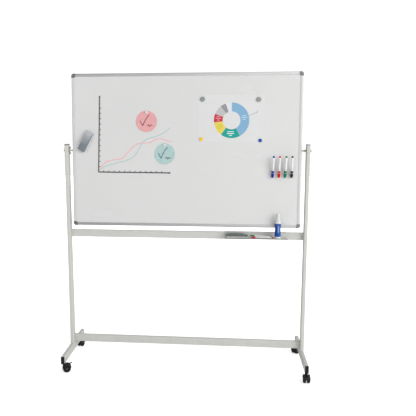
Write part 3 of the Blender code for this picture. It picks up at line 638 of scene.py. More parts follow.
def bottle_wrap():
    """A wrapped blue label with a lighter foot and a paler top, and painted shade that darkens its
    left side.
    """
    mat = Look("bottle_wrap")
    height, sideways = mat.axis("Z"), mat.axis("X")
    mottling = mat.spread(mat.noise(scale=40, detail=3), (0.3, 0.7))
    tone = mat.blend(mottling, (0.000, 0.060, 0.31), (0.003, 0.078, 0.36))
    foot = mat.spread(height, (0.022, 0.024), to=(1.0, 0.0))
    tone = mat.stain(tone, (0.010, 0.095, 0.38), cover=foot, amount=0.8)
    # painted shade on the side turned away from the light
    left = mat.spread(sideways, (-0.018, -0.004), to=(0.55, 0.0))
    tone = mat.blend(left, tone, (0.010, 0.016, 0.16))
    top = mat.spread(height, (0.080, 0.092))
    tone = mat.stain(tone, (0.10, 0.13, 0.36), cover=top, amount=0.5)
    mat.set(Base_Color=tone, Coat_Weight=0.08, Coat_Roughness=0.2, Specular_IOR_Level=0.25)
    mat.rough(mat.noise(scale=60, detail=3), low=0.30, high=0.42)
    mat.bump(mat.noise(scale=300), strength=0.04)
    return mat.material


STAND_COLOUR = (0.568, 0.572, 0.542)
PAINT = powder_coat("stand_powder_coat", STAND_COLOUR)
PAINT_LOW = powder_coat("stand_powder_coat_low", STAND_COLOUR, grime=0.25)
# the bottom frame's finish below is a darker copy of the top frame's: painted shade
ANODISED_X = aluminium("anodised_along_x", "X", (0.76, 0.765, 0.765), metallic=0.9, fade=0.60)
ANODISED_Z = aluminium("anodised_along_z", "Z", (0.620, 0.625, 0.625), metallic=0.12)
ANODISED_X_SHADED = aluminium(
    "anodised_along_x_painted_shade", "X", (0.65, 0.655, 0.655), metallic=0.9, fade=0.58
)
ENAMEL = enamel()
CORE = core_board()
# left and right copies of one plastic: painted light makes the right caps lighter, painted shade the
# left ones darker
CORNER_PLASTIC_LIT_BY_SIDE = {
    side: moulded("corner_cap_plastic_painted_light_" + side, colour, roughness=0.36, grain=1100, wear=0.35)
    for side, colour in (("left", (0.125, 0.135, 0.135)), ("right", (0.215, 0.222, 0.220)))
}
# the upright caps likewise: painted light makes the right cap lighter, painted shade the left one
# darker
CAP_PLASTIC_LIT_BY_SIDE = {
    side: moulded("upright_cap_plastic_" + side, colour, grain=1100, wear=0.3)
    for side, colour in (("left", (0.24, 0.245, 0.24)), ("right", (0.42, 0.425, 0.42)))
}
BLACK_PLASTIC = moulded(
    "black_cap_plastic", (0.008, 0.007, 0.010),
    roughness=0.46, grain=1000, wear=0.30, dust_and_lit_top=0.05, shine=0.28,
)
HOOD_PLASTIC = moulded(
    "caster_hood_plastic", (0.006, 0.0053, 0.0075),
    roughness=0.42, grain=1000, wear=0.30, dust_and_lit_top=0.05, shine=0.28,
)
WHEEL_PLASTIC = moulded(
    "caster_wheel_plastic", (0.0085, 0.008, 0.0105),
    roughness=0.52, grain=800, dust_and_lit_top=0.03, shine=0.25,
)
HUB_PLASTIC = moulded("caster_hub_plastic", (0.050, 0.049, 0.054), shine=0.3)
LEVER_PLASTIC = moulded(
    "brake_lever_plastic", (0.007, 0.0065, 0.0085), roughness=0.50, wear=0.2, shine=0.25
)
BUSH_PLASTIC = moulded("bush_plastic", (0.62, 0.60, 0.54), roughness=0.42, wear=0.1)
ZINC = zinc("zinc_plated_steel", (0.52, 0.50, 0.46), roughness=0.34)
ZINC_WARM = zinc("zinc_plated_wing_nut", (0.46, 0.41, 0.34), roughness=0.38)
FELT = felt("eraser_felt", (0.62, 0.62, 0.60))
# its full dust setting is a painted highlight: the upper end is lightened as if lit from above
ERASER = moulded(
    "eraser_shell", (0.180, 0.215, 0.240), roughness=0.5, grain=700, wear=0.2,
    dust_and_lit_top=1.0, lighter=(0.455, 0.46, 0.485), facing=(-0.03, 0.22),
)
# its full dust setting is a painted highlight on the top of the grip, as if lit from above
ERASER_DARK = moulded(
    "tray_eraser_shell", (0.105, 0.135, 0.130), roughness=0.5, grain=700, wear=0.15,
    dust_and_lit_top=1.0, lighter=(0.50, 0.51, 0.50), facing=(0.50, 0.97),
)


# ============================================================ carried-over CAD
def keep(names, material):
    """These CAD nodes keep their shape and get a procedural finish."""
    for name in names:
        for slot in NODES[name].material_slots:
            slot.material = material


keep(["panel_core"], CORE)
keep(["writing_surface_front", "writing_surface_rear"], ENAMEL)
keep([part + key for part in ("caster_stem_", "caster_axle_") for key in CASTERS], ZINC)


# ================================================================= board frame
def frame_outline():
    """Channel section, open inwards, with a bull-nosed outer side and a softly crowned
    face. x runs outwards, y through the board."""
    half = BOARD_T / 2
    inside = half - FRAME_LIP
    nose, power = 0.0105, 2.55  # length and roundness of the outer side
    crown = 0.0012  # drop of the face at its inner edge
    relief = 0.0012  # slant inside the channel's corners
    upper = [(-FACE_W, inside), (-FACE_W, half - 0.0013)]
    upper += arc((-FACE_W + 0.0005, half - 0.0013), 0.0005, 180, 100, 3)[1:]
    for x in (-0.0188, -0.0175, -0.0160, -0.0145, -0.0130, -0.0120):
        upper.append((x, half - crown * ((-nose - x) / (FACE_W - nose)) ** 2))
    for k in range(11):
        turn = math.radians(90 * k / 11)
        upper.append((
            -nose + nose * math.sin(turn) ** (2 / power),
            half * math.cos(turn) ** (2 / power),
        ))
    lower = [(x, -y) for x, y in reversed(upper)]
    return upper + [(0.0, 0.0)] + lower + [
        (-FRAME_WALL - relief, -inside), (-FRAME_WALL, -inside + relief),
        (-FRAME_WALL, inside - relief), (-FRAME_WALL - relief, inside),
    ]


def build_frame():
    outline = frame_outline()
    across, up = HALF_W - CORNER - GAP, HALF_H - CORNER - GAP
    # name, outward direction, distance out, half length, material
    runs = (
        ("frame_top", (0, 0, 1), HALF_H, across, ANODISED_X),
        # the bottom frame takes the darker copy, painted shade
        ("frame_bottom", (0, 0, -1), HALF_H, across, ANODISED_X_SHADED),
        ("frame_left", (-1, 0, 0), HALF_W, up, ANODISED_Z),
        ("frame_right", (1, 0, 0), HALF_W, up, ANODISED_Z),
    )
    through = Vector((0, 1, 0))
    for name, outward, reach, half, material in runs:
        side = outward[0]
        outward = Vector(outward)
        place = axes(outward, through, outward.cross(through), outward * reach)
        run = new_object(name + "_extrusion", prism(outline, -half, half, place), BOARD)
        if side:
            combine(run, rod(STUD_HOLE_R, HALF_W - 0.012, HALF_W + 0.01, 40, along_x(side)))
        finish(run, "board", material, name, sharp=30)


def mirrored(mesh, matrix, sign):
    mesh.transform(matrix)
    if sign < 0:
        mesh.flip_normals()
    return mesh


def build_corners():
    """Corner caps with a tongue into each neighbouring channel and a slot for the panel."""
    half = BOARD_T / 2 + 0.0006
    proud, radius = 0.0006, 0.017
    cut = 0.0040  # slant across the inner corner
    outline = [(-FACE_W, -CORNER), (proud, -CORNER)]
    outline += arc((proud - radius, proud - radius), radius, 0, 90, 16)
    outline += [(-CORNER, proud), (-CORNER, -FACE_W), (-FACE_W - cut, -FACE_W)]
    outline += [(-FACE_W, -FACE_W - cut)]
    low, high = -PANEL_INSET + GAP, -FRAME_WALL - GAP
    thick = BOARD_T / 2 - FRAME_LIP - GAP - 0.0008
    tongue_start, tongue_end = -CORNER - 0.022, -CORNER + 0.006
    tongues = (
        ((tongue_start, -thick, low), (tongue_end, thick, high)),
        ((low, -thick, tongue_start), (high, thick, tongue_end)),
    )
    slot_half, slot_edge = -CORE_LOW.y + GAP, -PANEL_INSET + 0.0001
    for vertical, up in (("top", 1), ("bottom", -1)):
        for name, side in SIDES:
            node = f"corner_cap_{vertical}_{name}"
            at = (side * HALF_W, 0, up * HALF_H)
            corner_axes = axes((side, 0, 0), (0, 0, up), (0, -1, 0), at)
            cap = new_object(node + "_moulding", prism(outline, -half, half, corner_axes), BOARD)
            soften(cap, 0.0030, segments=4)
            place = Matrix.Translation(at) @ Matrix.Diagonal((side, 1, up, 1))
            for tongue in tongues:
                combine(cap, mirrored(box(*tongue), place, side * up), "UNION")
            slot = box((-0.2, -slot_half, -0.2), (slot_edge, slot_half, slot_edge))
            combine(cap, mirrored(slot, place, side * up))
            plastic = CORNER_PLASTIC_LIT_BY_SIDE[name]
            finish(cap, "board", plastic, node, sharp=32, weighted=True)


# ====================================================================== pivots
def threaded(radius, start, end):
    """A rod with a helical thread, along Z, with a short plain run-out at each end."""
    pitch, depth, segments = 0.0015, 0.00045, 32
    shell = Shell()
    steps = max(2, round((end - start) / pitch * 6))
    rings = []
    for k in range(steps + 1):
        z = start + (end - start) * k / steps
        fade = max(0.0, min(1.0, (z - start) / 0.002, (end - z) / 0.0012))
        ring = []
        for i in range(segments):
            turn = 2 * math.pi * i / segments
            phase = (z / pitch - i / segments) % 1.0
            here = radius - depth * fade * (1 - abs(2 * phase - 1))
            here -= 0.0006 if k == steps else 0.0
            ring.append((here * math.cos(turn), here * math.sin(turn), z))
        rings.append(shell.ring(ring))
    for first, second in zip(rings, rings[1:]):
        shell.bridge(first, second)
    shell.face(rings[0])
    shell.face(rings[-1])
    return shell.mesh("thread")


def build_stud(node, matrix, tip):
    plate_in, plate_out = HALF_W - PANEL_INSET + GAP, HALF_W - FRAME_WALL - GAP
    stud = new_object(node + "_threaded", threaded(STUD_R, plate_in + 0.001, tip), matrix)
    combine(stud, box((-0.0050, -0.018, plate_in), (0.0050, 0.018, plate_out)), "UNION")
    finish(stud, "board", ZINC, node, sharp=50)


def build_cap_nut(node, matrix, stud_tip):
    """A chamfered hexagon with a dome, drilled for the stud."""
    base = local_box(node, matrix)[0].z
    across_flats = 0.0170
    hexagon = rod(across_flats / math.sqrt(3), base, base + 0.0068, 6)
    nut = new_object(node + "_domed", hexagon, matrix)
    # radius, height above the nut's base
    chamfer = (
        (0, -0.001), (0.0088, -0.001), (0.0089, 0), (0.0098, 0.0012), (0.0110, 0.003),
        (0.0098, 0.0056), (0.0088, 0.0070), (0, 0.0072),
    )
    combine(nut, lathe([(radius, base + z) for radius, z in chamfer], 48), "INTERSECT")
    dome_r, dome_h = 0.0076, 0.0052
    dome = [(0, base + 0.0112)]
    for angle in range(12, 90, 12):
        turn = math.radians(angle)
        dome.append((dome_r * math.sin(turn), base + 0.0060 + dome_h * math.cos(turn)))
    dome += [(dome_r, base + 0.0058), (dome_r, base + 0.0040), (0, base + 0.0040)]
    combine(nut, lathe(dome, 40), "UNION")
    combine(nut, rod(STUD_HOLE_R, base - 0.003, stud_tip + 0.0006, 28))
    finish(nut, "board", ZINC, node, sharp=40)


def build_bush(node, side, name):
    """A flanged bush in the upright."""
    low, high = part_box("upright_" + name)
    outer = (high.x if side > 0 else -low.x) - 0.0002
    place = along_x(side, PIVOT)
    inner = local_box(node, place)[0].z
    face = inner + 0.0014
    rows = [
        (0.0070, outer, 0.0003), (0.0070, face), (0.0100, face, 0.0003),
        (0.0100, inner, 0.0005), (STUD_HOLE_R, inner, 0.0003), (STUD_HOLE_R, outer, 0.0003),
    ]
    bush = new_object(node + "_moulding", lathe(fillet(rows, 3), 40, closed=True), place)
    finish(bush, "stand", BUSH_PLASTIC, node, sharp=40)


def build_wing_nut(node, matrix):
    """Hub and wings cast in one, so that they run into each other."""
    low, high = local_box(node, matrix)
    top, bottom = high.z, high.z - 0.010
    hub = [
        (0, top), (0.0095, top, 0.0005), (0.0095, top - 0.0022, 0.0008),
        (0.0078, top - 0.0045, 0.002), (0.0072, bottom, 0.0008), (0, bottom),
    ]
    nut = new_object(node + "_cast", lathe(fillet(hub, 4), 40), matrix)
    half = 0.026  # reach of a wing
    # distance from the axis, height
    wing = fillet([(0.002, -0.0085), (0.0075, -0.0088, 0.004), (half - 0.007, -0.0072)], 3)
    wing += arc((half - 0.0065, -0.0130), 0.0062, 70, -75, 10)
    wing += fillet([(half - 0.013, -0.0170), (0.0085, -0.0100, 0.004), (0.002, -0.0098)], 3)
    outline = [(x, top + y + 0.0052) for x, y in wing]
    # the wings stand along the wider of the nut's two directions
    upward = (high.y - low.y) > (high.x - low.x)
    radial = Vector((0, 1, 0)) if upward else Vector((1, 0, 0))
    axis = Vector((0, 0, 1))
    for outward in (radial, -radial):
        place = axes(outward, axis, outward.cross(axis))
        combine(nut, prism(outline, -0.0015, 0.0015, place), "UNION")
    combine(nut, rod(STUD_HOLE_R, top - 0.03, top + 0.02, 40))
    remesh = nut.modifiers.new("cast", "REMESH")
    remesh.mode = "VOXEL"
    remesh.voxel_size = 0.00045
    settle(nut)
    relax = nut.modifiers.new("relax", "SMOOTH")
    relax.factor = 0.5
    relax.iterations = 4
    settle(nut)
    finish(nut, node, ZINC_WARM, node, sharp=0)


def build_pivots():
    for name, side in SIDES:
        outward = BOARD @ along_x(side)
        stud_tip = local_box("pivot_stud_" + name, outward)[1].z
        build_stud("pivot_stud_" + name, outward, stud_tip)
        build_cap_nut("cap_nut_" + name, outward, stud_tip)
        build_bush("pivot_bush_" + name, side, name)
        build_wing_nut("wing_nut_" + name, outward)


# ======================================================================= stand
TUBE_WALL, TUBE_ROUND = 0.0015, 0.003
TUBE_LOW, TUBE_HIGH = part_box("upright_left")
NARROW, WIDE = TUBE_HIGH.x - TUBE_LOW.x, TUBE_HIGH.y - TUBE_LOW.y
BOLT_R, BOLT_HOLE_R = 0.004, 0.0044


def tube_section(width, height):
    """Outer and inner outline."""
    inner_round = TUBE_ROUND - TUBE_WALL + 0.0002
    return (
        rounded_rectangle(width, height, TUBE_ROUND),
        rounded_rectangle(width - 2 * TUBE_WALL, height - 2 * TUBE_WALL, inner_round),
    )


def tube_cap(node, material):
    """A moulded tube plug: a softly domed head over the tube's end, and a plug inside it."""
    low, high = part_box(node)
    centre = (low + high) / 2
    proud = 0.0006
    if node.startswith("upright"):
        direction = Matrix.Translation((centre.x, centre.y, 0))
        tip, thick = high.z, 0.0080
    else:
        way = -1 if centre.y < PIVOT.y else 1
        direction = along_y(way, (centre.x, 0, centre.z))
        tip, thick = (-low.y if way < 0 else high.y), 0.0060 - GAP
    outline = rounded_rectangle(NARROW + 2 * proud, WIDE + 2 * proud, TUBE_ROUND + proud)
    base = tip - thick
    cap = new_object(node + "_moulding", prism(outline, base, tip, direction))
    soften(cap, 0.0022, segments=4)
    half_x, half_y = (size / 2 - TUBE_WALL - 0.0014 for size in (NARROW, WIDE))
    plug = rounded_rectangle(2 * half_x, 2 * half_y, 0.0015, 4)
    combine(cap, prism(plug, base - 0.0102, base + 0.003, direction), "UNION")
    finish(cap, "stand", material, node, sharp=34, weighted=True)


def build_upright(name, x, y):
    node = "upright_" + name
    low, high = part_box(node)
    outer, inner = tube_section(NARROW, WIDE)
    place = Matrix.Translation((x, y, 0))
    mesh = tube(outer, inner, low.z, high.z, place, floor=0.004)
    upright = new_object(node + "_tube", mesh)
    drill(upright, 0.0073, -0.03, 0.03, along_x(1), (x, PIVOT.y, PIVOT.z), 36)
    for rail in ("upper", "lower"):
        bolt = middle(f"rail_bolt_{rail}_{name}")
        drill(upright, BOLT_HOLE_R, -0.03, 0.03, along_x(1), (x, bolt.y, bolt.z))
    drill(upright, BOLT_HOLE_R, -0.02, 0.02, None, (x, y, low.z))
    finish(upright, "stand", PAINT_LOW, node, sharp=32)
    tube_cap("upright_cap_" + name, CAP_PLASTIC_LIT_BY_SIDE[name])


def build_foot(name, x, y):
    node = "foot_" + name
    low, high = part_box(node)
    centre = (low + high) / 2
    half = (high.y - low.y) / 2
    outer, inner = tube_section(NARROW, WIDE)
    foot = new_object(node + "_tube", tube(outer, inner, -half, half, along_y(-1, centre)))
    for end in ("front", "rear"):
        stem = joint_at(f"caster_swivel_{end}_{name}")
        drill(foot, 0.0054, -0.01, 0.01, None, (x, stem.y, low.z))
    drill(foot, BOLT_HOLE_R, -0.06, 0.06, None, (x, y, centre.z))
    finish(foot, "stand", PAINT_LOW, node, sharp=32)
    for end in ("front", "rear"):
        tube_cap(f"foot_cap_{end}_{name}", BLACK_PLASTIC)


def build_foot_bolt(node):
    """A bolt from below through the foot: hexagon head with a washer face."""
    low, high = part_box(node)
    at = (low + high) / 2
    under = low.z + 0.0048
    washer_r = 0.0066
    shank = [
        (0, high.z), (0.0034, high.z), (BOLT_R, high.z - 0.0007), (BOLT_R, under),
        (washer_r, under), (washer_r, under - 0.0007), (0, under - 0.0007),
    ]
    bolt = new_object(node + "_hexagon", lathe(shank, 32), Matrix.Translation((at.x, at.y, 0)))
    hexagon = rod(washer_r, under - 0.0048, under - 0.0004, 6)
    head = new_object("head", hexagon, bolt.matrix_world.copy())
    chamfer = [
        (0, under), (washer_r, under), (washer_r, under - 0.0040),
        (0.0055, under - 0.0049), (0, under - 0.0049),
    ]
    combine(head, lathe(chamfer, 40), "INTERSECT")
    combine(bolt, head.data.copy(), "UNION")
    bpy.data.objects.remove(head, do_unlink=True)
    finish(bolt, "stand", ZINC, node)


def build_rail_bolt(node, side, y, z):
    """A button-head bolt with a hexagon socket."""
    low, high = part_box(node)
    tip, inner_end = (high.x, low.x) if side > 0 else (-low.x, -high.x)
    face = tip - 0.0036
    profile = [
        (0, tip), (0.0022, tip - 0.00005), (0.0040, tip - 0.0004), (0.0055, tip - 0.0012),
        (0.0065, tip - 0.0022), (0.0070, tip - 0.0032), (0.0070, face), (BOLT_R, face),
        (BOLT_R, inner_end + 0.0008), (0.0033, inner_end), (0, inner_end),
    ]
    bolt = new_object(node + "_button_head", lathe(profile, 40), along_x(side, (0, y, z)))
    socket_r = 0.0025 / math.cos(math.radians(30))
    combine(bolt, rod(socket_r, tip - 0.0022, tip + 0.002, 6))
    finish(bolt, "stand", ZINC, node, sharp=34)


def build_rail(rail):
    node = rail + "_rail"
    low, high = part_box(node)
    centre = (low + high) / 2
    half = (high.x - low.x) / 2
    outer, inner = tube_section(high.y - low.y, high.z - low.z)
    at = (0, centre.y, centre.z)
    made = new_object(node + "_tube", prism(outer, -half, half, along_x(1, at)))
    combine(made, prism(inner, -half + 0.003, half - 0.003, along_x(1, at)))
    for name, side in SIDES:
        drill(made, BOLT_HOLE_R, half - 0.012, half + 0.012, along_x(side), at)
        build_rail_bolt(f"rail_bolt_{rail}_{name}", side, centre.y, centre.z)
    paint = PAINT if rail == "upper" else PAINT_LOW
    finish(made, "stand", paint, node, sharp=32)


def build_stand():
    for name, side in SIDES:
        upright = middle("upright_" + name)
        build_upright(name, upright.x, upright.y)
        build_foot(name, upright.x, upright.y)
        build_foot_bolt("foot_bolt_" + name)
    for rail in ("upper", "lower"):
        build_rail(rail)


# ======================================================================== tray
TRAY_LOW, TRAY_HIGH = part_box("pen_tray")
RAIL_LOW, RAIL_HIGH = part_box("upper_rail")
TRAY_T, TRAY_LIP = 0.0015, 0.0065
TRAY_FLOOR = TRAY_LOW.z + TRAY_T + GAP  # where things in the tray stand
TRAY_BACK = RAIL_LOW.y - GAP - TRAY_T  # front of the tray's back wall


def build_tray():
    """A bent strip of sheet steel, open at both ends: hook over the rail, back, floor, lip."""
    front, rear = RAIL_LOW.y - GAP, RAIL_HIGH.y + GAP
    top, under = RAIL_HIGH.z + GAP, TRAY_LOW.z
    path = fillet(
        [
            (rear, top - 0.010), (rear, top, 0.0030), (front, top, 0.0030),
            (front, under, 0.0035), (TRAY_LOW.y, under, 0.0032), (TRAY_LOW.y, under + TRAY_LIP),
        ],
        6,
    )
    mesh = prism(strip_outline(path, -TRAY_T), TRAY_LOW.x, TRAY_HIGH.x, along_x(1))
    tray = new_object("pen_tray_folded", mesh)
    soften(tray, 0.0006, segments=3, angle=60)
    # the band of the lip's front that gets painted shade
    lip = (TRAY_LOW.y + 0.0014, TRAY_LOW.y + 0.0024)
    paint = powder_coat("tray_powder_coat", (0.56, 0.57, 0.54), lip=lip)
    finish(tray, "pen_tray", paint, "pen_tray", sharp=34)


# ===================================================================== casters
WHEEL_R, WHEEL_W, WHEEL_GAP, AXLE_R = 0.0250, 0.0165, 0.0090, 0.0030
HOOD_R, HOOD_T, HOOD_W = 0.0290, 0.0024, 0.0430
AXLE_HOLE_R = AXLE_R + 0.0003
WHEEL_IN, WHEEL_OUT = WHEEL_GAP / 2, WHEEL_GAP / 2 + WHEEL_W
# radius, distance from the caster's middle plane, rounding: dished face with a raised rim,
# tread with a parting line, axle hole
WHEEL_PROFILE = fillet(
    [
        (0, WHEEL_OUT - 0.0012),
        (0.0066, WHEEL_OUT - 0.0013, 0.001),
        (0.0080, WHEEL_OUT - 0.0034, 0.0008),
        (0.0186, WHEEL_OUT - 0.0034, 0.0008),
        (0.0202, WHEEL_OUT, 0.0008),
        (WHEEL_R - 0.0018, WHEEL_OUT - 0.0004, 0.0018),
        (WHEEL_R, WHEEL_OUT - 0.0042, 0.0030),
        (WHEEL_R, WHEEL_IN + 0.0088),
        (WHEEL_R - 0.0003, WHEEL_IN + 0.0084),
        (WHEEL_R, WHEEL_IN + 0.0080),
        (WHEEL_R, WHEEL_IN + 0.0018, 0.0014),
        (WHEEL_R - 0.0014, WHEEL_IN, 0.0010),
        (AXLE_HOLE_R, WHEEL_IN, 0.0004),
        (AXLE_HOLE_R, WHEEL_OUT - 0.0042),
        (0, WHEEL_OUT - 0.0042),
    ],
    4,
)


def caster_frame(key):
    """Z up through the swivel, X along the trail; and the length of the trail."""
    swivel = joint_at("caster_swivel_" + key)
    axle = middle("caster_axle_" + key)
    trail = Vector((axle.x - swivel.x, axle.y - swivel.y))
    turn = math.atan2(trail.y, trail.x)
    place = Matrix.Translation((swivel.x, swivel.y, 0)) @ Matrix.Rotation(turn, 4, "Z")
    return place, trail.length


def side_rod(radius, start, end, x, z, segments):
    return rod(radius, start, end, segments, along_y(1, (x, 0, z)))


def build_hood(key, place, trail, hinge, boss_top):
    """An arched hood over the wheels, with a web between them and a boss for the stem.
    A hinge (x, z) gives it a cut and two lugs for the brake lever."""
    node = "caster_hood_" + key
    axle = (trail, WHEEL_R)
    side = arc(axle, HOOD_R, 6, 186, 44) + arc(axle, HOOD_R - HOOD_T, 186, 6, 44)
    mesh = prism(side, -HOOD_W / 2, HOOD_W / 2, FROM_FRONT)
    hood = new_object(node + "_moulding", mesh, place)
    soften(hood, 0.0011, segments=3)
    web = arc(axle, HOOD_R - HOOD_T / 2, 12, 140, 24) + [(-0.0088, 0.0440), (-0.0088, 0.0300)]
    web += arc(axle, 0.0100, 215, 350, 12)
    web_half = (WHEEL_GAP - 0.0016) / 2
    combine(hood, prism(web, -web_half, web_half, FROM_FRONT), "UNION")
    boss = [(0, 0.0362), (0.0088, 0.0362), (0.0088, boss_top, 0.0012), (0, boss_top)]
    combine(hood, lathe(fillet(boss, 4), 40), "UNION")
    if hinge:
        x, z = hinge
        cut_low = (trail + 0.0010, -0.0072, WHEEL_R + HOOD_R - 0.0085)
        combine(hood, box(cut_low, (trail + 0.06, 0.0072, 0.09)))
        lug = fillet([
            (trail + 0.0012, z - 0.0024), (trail + 0.0012, z + 0.0028, 0.0022),
            (trail + 0.0088, z + 0.0028, 0.0022), (trail + 0.0088, z - 0.0024),
        ])
        for way in (1, -1):
            reach = sorted((way * 0.0074, way * 0.0110))
            combine(hood, prism(lug, *reach, FROM_FRONT), "UNION")
        combine(hood, side_rod(0.0017, -0.0104, 0.0104, x, z, 20))
    combine(hood, rod(0.0043, 0.0385, 0.09, 28))
    combine(hood, side_rod(AXLE_HOLE_R, -0.02, 0.02, *axle, 28))
    for way in (1, -1):
        reach = sorted((way * (WHEEL_GAP / 2 - 0.0006), way * 0.04))
        combine(hood, side_rod(WHEEL_R + 0.0010, *reach, *axle, 72))
    finish(hood, "caster_" + key, HOOD_PLASTIC, node, sharp=32)


def build_wheel(key, label, way, place, trail):
    node = f"caster_wheel_{label}_{key}"
    spin = place @ along_y(way, (trail, 0, WHEEL_R))
    wheel = new_object(node + "_moulding", lathe(WHEEL_PROFILE, 64), spin)
    for k in range(5):
        rib = box((0.0070, -0.0006, WHEEL_OUT - 0.0042), (0.0195, 0.0006, WHEEL_OUT - 0.0016))
        rib.transform(Matrix.Rotation(math.radians(72 * k + 18), 4, "Z"))
        combine(wheel, rib, "UNION")
    for face in wheel.data.polygons:
        centre = face.center
        if math.hypot(centre.x, centre.y) < 0.0078 and centre.z > WHEEL_OUT - 0.003:
            face.material_index = 1
    plastics = [WHEEL_PLASTIC, HUB_PLASTIC]
    finish(wheel, f"wheel_{label}_{key}", plastics, node, sharp=34)


def build_lever(key, place):
    """The brake lever: a rounded hinge end, a curved tongue, and three ribs on its top."""
    node = "brake_lever_" + key
    outline = arc((0, 0), 0.0024, 100, 250, 12) + fillet(
        [
            (0.0032, -0.0016), (0.0075, -0.0011, 0.004), (0.0125, 0.0003, 0.004),
            (0.0190, 0.0022, 0.004), (0.0285, 0.0050, 0.0015), (0.0300, 0.0065, 0.001),
            (0.0290, 0.0077, 0.001), (0.0260, 0.0075, 0.003), (0.0180, 0.0050, 0.004),
            (0.0100, 0.0031, 0.004), (0.0040, 0.0027),
        ],
        4,
    )
    lever = new_object(node + "_moulding", prism(outline, -0.0063, 0.0063, FROM_FRONT), place)
    soften(lever, 0.0006)
    combine(lever, rod(0.0014, -0.0098, 0.0098, 20, along_y(1)), "UNION")
    for k in range(3):
        at = (0.0205 + 0.0026 * k, 0.0057 + 0.000759 * k)
        rib = rounded_rectangle(0.0010, 0.0012, 0.0004, 3, at)
        combine(lever, prism(rib, -0.0048, 0.0048, FROM_FRONT), "UNION")
    finish(lever, node, LEVER_PLASTIC, node, sharp=34)


def build_casters():
    boss_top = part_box("foot_left")[0].z - GAP - 0.0042
    for key in CASTERS:
        place, trail = caster_frame(key)
        hinge = None
        if "brake_lever_" + key in NODES:
            hinge = (trail + 0.0050, WHEEL_R + HOOD_R - 0.0006)
        build_hood(key, place, trail, hinge, boss_top)
        for label, way in (("a", 1), ("b", -1)):
            build_wheel(key, label, way, place, trail)
        if hinge:
            build_lever(key, place @ Matrix.Translation((hinge[0], 0, hinge[1])))


# ======================================================= drawing on the board
def on_board(x, z, off=0.0):
    """Board-local point: x across, z up, `off` in front of the writing face."""
    return Vector((x, SHEET_Y - off, z))


def facing_out(x, z, off):
    """Axes that stand on the board's front, with Z towards the viewer."""
    return BOARD @ Matrix.Translation(on_board(x, z, off)) @ FROM_FRONT


INKS = {
    "dark": ink("ink_dark_grey", (0.085, 0.098, 0.098), patchiness=0.25),
    "rose": ink("ink_rose", (0.84, 0.33, 0.38), patchiness=0.4),
    "teal": ink("ink_teal", (0.33, 0.52, 0.50), patchiness=0.4),
}
# (x, z) on the board
AXES_ORIGIN = (-0.5754, -0.1425)
AXES_TOP, AXES_RIGHT = (-0.5630, 0.3560), (-0.0957, -0.1462)
CURVE_LOWER = [
    (-0.5716, -0.1301), (-0.5489, -0.0995), (-0.5210, -0.0749), (-0.4705, -0.0609),
    (-0.4148, -0.0501), (-0.3812, -0.0172), (-0.3483, 0.0182), (-0.3149, 0.0425),
    (-0.2818, 0.0490), (-0.2321, 0.0523), (-0.1998, 0.0699), (-0.1668, 0.0777),
    (-0.1451, 0.0751), (-0.1123, 0.0615), (-0.0847, 0.0615),
]
CURVE_UPPER = [
    (-0.5634, -0.1274), (-0.5294, -0.1047), (-0.4822, -0.0913), (-0.4318, -0.0772),
    (-0.3875, -0.0652), (-0.3541, -0.0499), (-0.3259, -0.0249), (-0.3038, 0.0105),
    (-0.2818, 0.0484), (-0.2598, 0.0699), (-0.2380, 0.0796), (-0.1938, 0.0913),
    (-0.1556, 0.1075), (-0.1287, 0.1237), (-0.0959, 0.1501),
]


def smooth_line(points):
    """A Catmull-Rom line through given points."""
    steps = 6
    knots = [Vector(point) for point in points]
    knots = [knots[0] * 2 - knots[1]] + knots + [knots[-1] * 2 - knots[-2]]
    made = []
    for before, start, end, after in zip(knots, knots[1:], knots[2:], knots[3:]):
        for k in range(steps):
            part = k / steps
            made.append(
                0.5
                * (
                    (2 * start)
                    + (end - before) * part
                    + (2 * before - 5 * start + 4 * end - after) * part * part
                    + (3 * start - before - 3 * end + after) * part ** 3
                )
            )
    made.append(knots[-2])
    return made


def stroke(name, line, width, material, off=0.0, blob=0.0, seed=0.0):
    """A pen stroke: a thin ribbon that swells and thins a little, with rounded ends. A blob
    widens its last part."""
    wobble = 0.12
    count = len(line)
    length = [0.0]
    for start, end in zip(line, line[1:]):
        length.append(length[-1] + (end - start).length)
    left, right = [], []
    for i, place in enumerate(line):
        ahead = (line[min(count - 1, i + 1)] - line[max(0, i - 1)]).normalized()
        normal = Vector((-ahead.y, ahead.x))
        to_end = min(length[i], length[-1] - length[i])
        round_end = math.sqrt(1 - (1 - min(1.0, to_end / (width / 2))) ** 2)
        swell = 1 + wobble * noise.noise((length[i] * 60 + seed, seed, 0.0))
        if blob and length[-1] - length[i] < width * 1.4:
            swell += blob
        half = width / 2 * max(0.16, round_end) * swell
        left.append(place + normal * half)
        right.append(place - normal * half)

    def point(along, across):
        i = round(along * (count - 1))
        place = left[i].lerp(right[i], across)
        return on_board(place.x, place.y, off + 0.00012)

    made = new_object(name, patch(point, count - 1, 1, 0.00012), BOARD)
    finish(made, "board", material, sharp=50)


def ruled(start, end, spacing=0.004):
    """Points along a straight line."""
    start, end = Vector(start), Vector(end)
    steps = max(1, round((end - start).length / spacing))
    return [start.lerp(end, k / steps) for k in range(steps)] + [end]


def by_hand(points, seed):
    """Moves the points of a ruled line a little, as a hand does."""
    size = 0.0008
    return [
        place + Vector([size * noise.noise((place.x * 9, place.y * 9, seed + more))
                        for more in (0, 7)])
        for place in points
    ]


